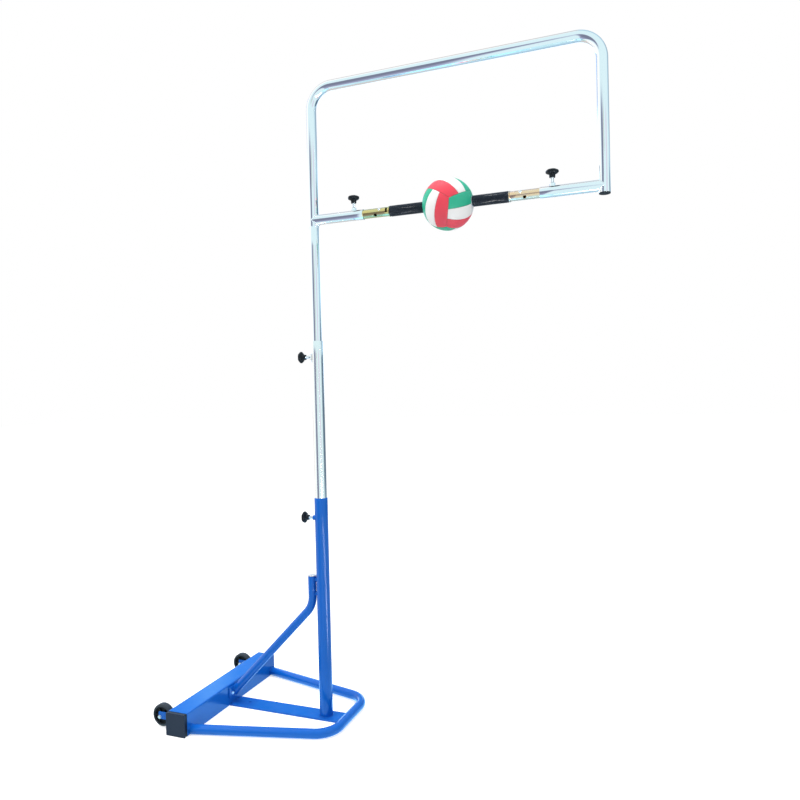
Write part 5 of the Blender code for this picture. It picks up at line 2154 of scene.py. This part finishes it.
@dataclass
class TrainingBall:
    """Ball of eighteen panels on a threaded spindle.

    The panels are the common layout: six groups of three side by side, each group
    square to its neighbours.
    """

    shop: Workshop
    x: float = 0.600
    z: float = 2.140
    radius: float = 0.103
    flat: float = 0.0990
    dent_start: float = 0.090
    dent_size: float = 0.0135
    washer_radius: float = 0.0205
    washer_face: float = 0.1010
    spindle: float = 0.005
    spindle_half: float = 0.118
    pitch: float = 0.0015
    nut_flats: float = 0.0152
    nut_height: float = 0.008
    seam_half: float = 0.0005
    seam_round: float = 0.0034
    seam_depth: float = 0.0013
    panel_thick: float = 0.0032
    turns: tuple[tuple[float, str], ...] = ((24.0, "X"), (-31.0, "Z"), (18.0, "Y"))

    @property
    def centre(self) -> Vector:
        """The ball's centre."""
        return Vector((self.x, 0.0, self.z))

    def panel(self, face: tuple[Vector, Vector, Vector], strip: int) -> Body:
        """One panel as a closed shell with rounded edges.

        Args:
            face: the group's outward, lengthwise and crosswise directions.
            strip: 0, 1 or 2 across the group.

        Returns:
            The panel.
        """
        out, length, across = face
        quarter, sixth = math.pi / 4, math.pi / 6
        low = -quarter + sixth * strip
        b_lines = self.grid_lines(low, low + sixth, 10)
        top: list[list[Vector]] = []
        under: list[list[Vector]] = []
        for a_base, a_edge, a_side in self.grid_lines(-quarter, quarter, 24):
            top_row, under_row = [], []
            for b_base, b_edge, b_side in b_lines:
                a = a_base + a_side * a_edge / self.radius * self.stretch(a_base, b_base)
                b = b_base + b_side * b_edge / self.radius * self.stretch(b_base, a_base)
                way = (out + length * math.tan(a) + across * math.tan(b)).normalized()
                near = min(a_edge if a_side else 1.0, b_edge if b_side else 1.0) - self.seam_half
                share = 1.0 - min(near / self.seam_round, 1.0)
                drop = self.seam_depth * (1.0 - math.sqrt(max(1.0 - share ** 2, 0.0)))
                top_row.append(self.press(way * (self.radius - drop)))
                under_row.append(self.press(way * (self.radius - self.panel_thick)))
            top.append(top_row)
            under.append(under_row)
        return self.shell(top, under)

    def grid_lines(self, low: float, high: float, inner: int) -> list[tuple[float, float, int]]:
        """Lines across a panel, close together beside its seams.

        Args:
            low: angle of the first seam.
            high: angle of the last seam.
            inner: faces between the rounded edges.

        Returns:
            (base angle, distance from that seam, way inwards) for each line.
        """
        shares = (0.0, 0.06, 0.2, 0.45, 0.75, 1.0)
        edges = [self.seam_half + self.seam_round * share for share in shares]
        margin = (self.seam_half + self.seam_round) / self.radius * 1.15
        lines = [(low, edge, 1) for edge in edges]
        lines += [(low + margin + (high - low - 2 * margin) * step / inner, 0.0, 0)
                  for step in range(1, inner)]
        return lines + [(high, edge, -1) for edge in reversed(edges)]

    @staticmethod
    def stretch(main: float, other: float) -> float:
        """Angle covered by a unit of arc at a point of a cube face."""
        size = 1.0 + math.tan(main) ** 2 + math.tan(other) ** 2
        return size * math.cos(main) ** 2 / math.sqrt(1.0 + math.tan(other) ** 2)

    def press(self, point: Vector) -> Vector:
        """Draw a point in softly where the washers press on the ball.

        Args:
            point: a point from the ball's centre, which is moved.

        Returns:
            The same point.
        """
        over = abs(point.x) - self.dent_start
        if over > 0.0:
            size = self.dent_start + self.dent_size * math.tanh(over / self.dent_size)
            point.x = math.copysign(size, point.x)
        return point

    @staticmethod
    def shell(top: list[list[Vector]], under: list[list[Vector]]) -> Body:
        """Close two grids of points into one shell.

        Args:
            top: rows of the outer face.
            under: rows of the inner face.

        Returns:
            The shell.
        """
        body = Body()
        bm = body.bm
        grids = [[[bm.verts.new(point) for point in row] for row in grid] for grid in (top, under)]
        rows, columns = len(top), len(top[0])
        for grid in grids:
            for i in range(rows - 1):
                for j in range(columns - 1):
                    bm.faces.new((grid[i][j], grid[i + 1][j], grid[i + 1][j + 1], grid[i][j + 1]))
        rim = [(i, 0) for i in range(rows)] + [(rows - 1, j) for j in range(1, columns)]
        rim += [(i, columns - 1) for i in range(rows - 2, -1, -1)]
        rim += [(0, j) for j in range(columns - 2, 0, -1)]
        for (i, j), (k, m) in zip(rim, rim[1:] + rim[:1]):
            bm.faces.new((grids[0][i][j], grids[0][k][m], grids[1][k][m], grids[1][i][j]))
        bmesh.ops.recalc_face_normals(bm, faces=bm.faces)
        return body

    def carcass(self) -> Body:
        """Round core that shows dark between the panels.

        Returns:
            The core.
        """
        size, steps = self.radius - 0.0019, 40
        profile: list[Pair] = []
        for step in range(steps + 1):
            angle = math.pi * (1.0 - step / steps)
            along = self.press(Vector((size * math.cos(angle), 0.0, 0.0))).x
            profile.append((along, size * math.sin(angle) if 0 < step < steps else 0.0))
        return turned(profile, 72).place(self.centre, X)

    def fittings(self) -> Body:
        """Spindle, washers and nuts at both sides.

        Returns:
            The body.
        """
        body = threaded_bar(-self.spindle_half, self.spindle_half, self.spindle, self.pitch)
        body.place(self.centre, X)
        seat, face, r = self.flat + 0.0001, self.washer_face, self.washer_radius
        washer = [(seat, 0.0045), (seat, r - 0.0006), (seat + 0.0006, r), (face - 0.0006, r),
                  (face, r - 0.0006), (face, 0.0045)]
        for way in (-1, 1):
            body.join(turned(washer).place(self.centre, X * way))
            nut = hex_fastener(self.nut_flats, self.nut_height - 0.0016, 0.0084)
            body.join(nut.place(self.centre + X * (way * (face - 0.0001)), X * way))
        return body

    def build(self) -> None:
        """Show the panels by colour, the core and the spindle."""
        show = self.shop.show
        turn = Matrix.Identity(3)
        for degrees, axis in self.turns:
            turn = turn @ Matrix.Rotation(math.radians(degrees), 3, axis)
        axes = [turn @ axis for axis in (X, Y, Z)]
        colours = (Finishes.BALL_RED, Finishes.BALL_WHITE, Finishes.BALL_GREEN)
        shells = [Body() for _colour in colours]
        for index in range(3):
            for sign in (1, -1):
                face = (axes[index] * sign, axes[(index + 1) % 3], axes[(index + 2) % 3])
                for strip in range(3):
                    shells[strip if sign > 0 else 2 - strip].join(self.panel(face, strip))
        for body, finish in zip(shells, colours):
            name = "ball_panels_" + finish.name.split("_")[0]
            nodes = ["ball_shell"] if finish is Finishes.BALL_WHITE else []
            show(name, body.shift(self.centre), finish, "ball", *nodes)
        show("ball_carcass", self.carcass(), Finishes.SEAM, "ball")
        show("ball_fittings", self.fittings(), Finishes.FASTENER, "ball", "ball_spindle")


@dataclass(frozen=True)
class Zone:
    """One part of the room's walls.

    Attributes:
        azimuth: its middle, in degrees from -Y towards +X.
        half: degrees from its middle to where it starts to fade.
        soft: degrees over which it fades out.
        low: lowest height at full strength; a height is the sine of an elevation.
        high: highest height at full strength.
        fade: heights over which it fades out below low and above high.
        colour: the zone's colour.
    """

    azimuth: float
    half: float
    soft: float
    low: float
    high: float
    fade: Pair
    colour: Colour


@dataclass(frozen=True)
class Room:
    """What polished pieces mirror: pale walls and floor with a few zones on them."""

    wall: Colour = (0.80, 0.97, 1.00)
    near_floor: Colour = (0.62, 0.92, 1.00)
    foot_floor: Colour = (0.9, 2.0, 3.4)
    line: Colour = (15.0, 15.5, 16.0)
    eye: float = 2.3
    zones: tuple[Zone, ...] = (
        Zone(-90.0, 24.0, 24.0, -1.0, 1.0, (0.1, 0.1), (1.14, 1.12, 1.10)),
        Zone(-152.0, 28.0, 20.0, -1.0, 1.0, (0.1, 0.1), (0.70, 0.66, 0.64)),
        Zone(148.0, 32.0, 20.0, -1.0, 1.0, (0.1, 0.1), (0.50, 0.70, 0.84)),
        Zone(148.0, 32.0, 20.0, -0.30, 0.06, (0.12, 0.08), (0.13, 0.19, 0.26)),
        Zone(153.0, 16.0, 20.0, 0.26, 0.60, (0.10, 0.14), (0.36, 0.46, 0.54)),
        Zone(-150.0, 25.0, 12.0, 0.02, 0.26, (0.06, 0.05), (1.7, 2.3, 2.9)),
        Zone(-152.0, 16.0, 8.0, 0.32, 0.46, (0.05, 0.06), (0.05, 0.45, 1.30)),
        Zone(-143.3, 0.4, 1.2, 0.30, 0.46, (0.04, 0.05), (0.9, 1.9, 2.2)),
        Zone(-24.0, 14.0, 8.0, -0.87, 0.14, (0.06, 0.20), (0.42, 0.43, 0.62)),
        Zone(-24.0, 11.0, 8.0, -0.30, 0.14, (0.57, 0.16), (0.22, 0.23, 0.32)),
        Zone(7.0, 2.5, 3.0, 0.04, 0.16, (0.03, 0.10), (0.50, 0.44, 0.34)),
        Zone(52.0, 7.0, 8.0, -0.16, 0.16, (0.10, 0.10), (0.78, 0.72, 0.84)))

    def paint(self, graph: Graph, azimuth: Any, height: Any) -> Any:
        """Colour of the room in one direction.

        Args:
            graph: the tree that it is drawn in.
            azimuth: socket with the azimuth.
            height: socket with the height.

        Returns:
            The colour's socket.
        """
        colour: Any = self.wall
        for zone in self.zones:
            turn = graph.math("ADD", azimuth, 540.0 - zone.azimuth)
            turn = graph.math("SUBTRACT", graph.math("FLOORED_MODULO", turn, 360.0), 180.0)
            side = graph.band(turn, 0.0, zone.half, zone.soft)
            under = graph.spread(height, zone.low - zone.fade[0], zone.low, curve=SMOOTH)
            over = graph.spread(height, zone.high, zone.high + zone.fade[1], 1.0, 0.0, SMOOTH)
            colour = graph.mix(graph.product(side, under, over), colour, zone.colour)
        return colour

    def azimuth(self, graph: Graph, way: Any) -> tuple[Any, Any]:
        """Azimuth of a direction, and its height.

        Args:
            graph: the tree that it is worked out in.
            way: socket with the direction.

        Returns:
            The azimuth's socket, and the height's.
        """
        axes = graph.add("ShaderNodeSeparateXYZ", {"Vector": way}).outputs
        turn = graph.math("ARCTAN2", axes["X"], graph.math("MULTIPLY", axes["Y"], -1.0))
        return graph.math("DEGREES", turn), axes["Z"]

    def walls(self, graph: Graph, way: Any) -> Any:
        """Colour of the walls along a direction."""
        return self.paint(graph, *self.azimuth(graph, way))

    def ground(self, graph: Graph, place: Any) -> Any:
        """Colour of the floor at a place, as polished pieces mirror it.

        Args:
            graph: the tree that it is drawn in.
            place: socket with the place.

        Returns:
            The colour's socket.
        """
        moved = graph.add("ShaderNodeVectorMath", {
            "Vector": place, "Vector_001": -MAST_AT}, operation="ADD").outputs[0]
        azimuth, _height = self.azimuth(graph, moved)
        away = graph.add("ShaderNodeVectorMath", {"Vector": moved},
                         operation="LENGTH").outputs["Value"]
        slope = graph.math("SQRT", graph.math("ADD", graph.math("POWER", away, 2.0), self.eye ** 2))
        height = graph.math("DIVIDE", -self.eye, slope)
        near = graph.mix(graph.spread(away, 0.35, 0.60), self.foot_floor, self.near_floor)
        colour = graph.mix(
            graph.spread(away, 0.9, 1.5, curve=SMOOTH), near, self.paint(graph, azimuth, height))
        centre = graph.spread(away, 1.69, 4.98, 80.0, 39.0)
        half = graph.spread(away, 1.69, 4.98, 6.0, 3.0)
        line = graph.product(
            graph.band(azimuth, centre, half, 3.0), graph.band(away, 3.3, 1.9, 0.8))
        return graph.mix(line, colour, self.line)


@dataclass
class Studio:
    """Pale floor, soft light and the camera."""

    position: Colour = (1.4054, -2.6792, 1.4080)
    yaw: float = 0.36696
    pitch: float = -0.01504
    roll: float = -0.02387
    lens: float = 31.435
    sensor: float = 36.0
    floor_half: float = 30.0
    floor_low: float = -0.0004
    room: Room = Room()
    lamps: tuple[tuple[str, Colour, Colour, float, float], ...] = (
        ("key_lamp", (-2.6, -3.2, 4.2), (0.0, 0.0, 1.2), 2.6, 130.0),
        ("side_lamp", (3.6, -1.4, 3.4), (0.0, 0.0, 1.4), 2.2, 50.0),
        ("top_lamp", (-0.6, 0.6, 7.0), (-0.2, 0.0, 0.0), 4.0, 330.0))

    def camera(self) -> None:
        """Add the camera at the photograph's viewpoint."""
        data = bpy.data.cameras.new("camera")
        data.lens, data.sensor_width = self.lens, self.sensor
        data.clip_start, data.clip_end = 0.05, 200.0
        place = Matrix.Translation(Vector(self.position) + MAST_AT)
        for turn, axis in ((self.yaw, "Z"), (math.pi / 2 + self.pitch, "X"), (self.roll, "Z")):
            place = place @ Matrix.Rotation(turn, 4, axis)
        camera = link("camera", data)
        camera.matrix_world = place
        bpy.context.scene.camera = camera

    def world(self) -> None:
        """White to the camera, even to diffuse rays, and the room to glossy ones."""
        world = bpy.data.worlds.new("studio")
        bpy.context.scene.world = world
        world.use_nodes = True
        graph = Graph(world.node_tree)
        background = world.node_tree.nodes["Background"]
        way = graph.add("ShaderNodeTexCoord").outputs["Generated"]
        path = graph.add("ShaderNodeLightPath").outputs
        seen = graph.mix(path["Is Glossy Ray"], (1.0, 1.0, 1.0), self.room.walls(graph, way))
        graph.feed(background, "Color", seen)
        graph.feed(
            background, "Strength", graph.spread(path["Is Diffuse Ray"], 0.0, 1.0, 1.0, 0.55))

    def floor(self) -> None:
        """Pale floor that is white to the camera but keeps the object's shadow."""
        half, low = self.floor_half, self.floor_low
        mesh = bpy.data.meshes.new("studio_floor")
        mesh.from_pydata([(-half, -half, low), (half, -half, low), (half, half, low),
                          (-half, half, low)], [], [(0, 1, 2, 3)])
        material = bpy.data.materials.new("studio_floor")
        material.use_nodes = True
        tree = material.node_tree
        tree.nodes.remove(tree.nodes["Principled BSDF"])
        graph = Graph(tree)
        place = graph.add("ShaderNodeTexCoord").outputs["Object"]
        path = graph.add("ShaderNodeLightPath").outputs
        mirror = graph.add("ShaderNodeEmission", {"Color": self.room.ground(graph, place)})
        paint = graph.add("ShaderNodeBsdfDiffuse", {"Color": (0.72, 0.72, 0.72, 1.0)})
        lift = graph.add("ShaderNodeEmission", {"Color": (1.0, 1.0, 1.0, 1.0), "Strength": 0.62})
        lifted = graph.add("ShaderNodeAddShader", {"Shader": paint, "Shader_001": lift})
        shown = graph.add("ShaderNodeMixShader", {
            "Fac": path["Is Camera Ray"], "Shader": paint, "Shader_001": lifted})
        graph.feed(tree.nodes["Material Output"], "Surface", graph.add("ShaderNodeMixShader", {
            "Fac": path["Is Glossy Ray"], "Shader": shown, "Shader_001": mirror}))
        mesh.materials.append(material)
        floor = link("studio_floor", mesh)

    def lamp(self, name: str, position: Colour, target: Colour, size: float, power: float) -> None:
        """Add one soft square lamp.

        Args:
            name: the lamp's name.
            position: where it hangs.
            target: the point that it faces.
            size: length of its sides.
            power: watts.
        """
        data = bpy.data.lights.new(name, "AREA")
        data.size, data.energy = size, power
        lamp = link(name, data)
        lamp.location = position
        lamp.rotation_mode = "QUATERNION"
        lamp.rotation_quaternion = (Vector(position) - Vector(target)).to_track_quat("Z", "Y")
        lamp.visible_glossy = False

    def build(self) -> None:
        """Add everything that isn't part of the object."""
        self.camera()
        self.world()
        self.floor()
        for lamp in self.lamps:
            self.lamp(*lamp)
        bpy.context.scene.view_settings.view_transform = "Standard"


def write_sizes() -> None:
    """Bring the scene's transforms up to date."""
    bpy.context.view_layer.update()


def main() -> None:
    """Build every sub-assembly, then the studio."""
    logging.basicConfig(level=logging.INFO, format="%(message)s")
    shop = Workshop()
    for kind in (BallastBeam, FloorFrame, LowerMast, Brace, TransportWheels, MiddleMast,
                 UprightFrame, Clamps, SpringLine, TrainingBall):
        LOG.info("building %s", kind.__name__)
        kind(shop).build()
    Studio().build()
    write_sizes()


if __name__ == "__main__":
    main()
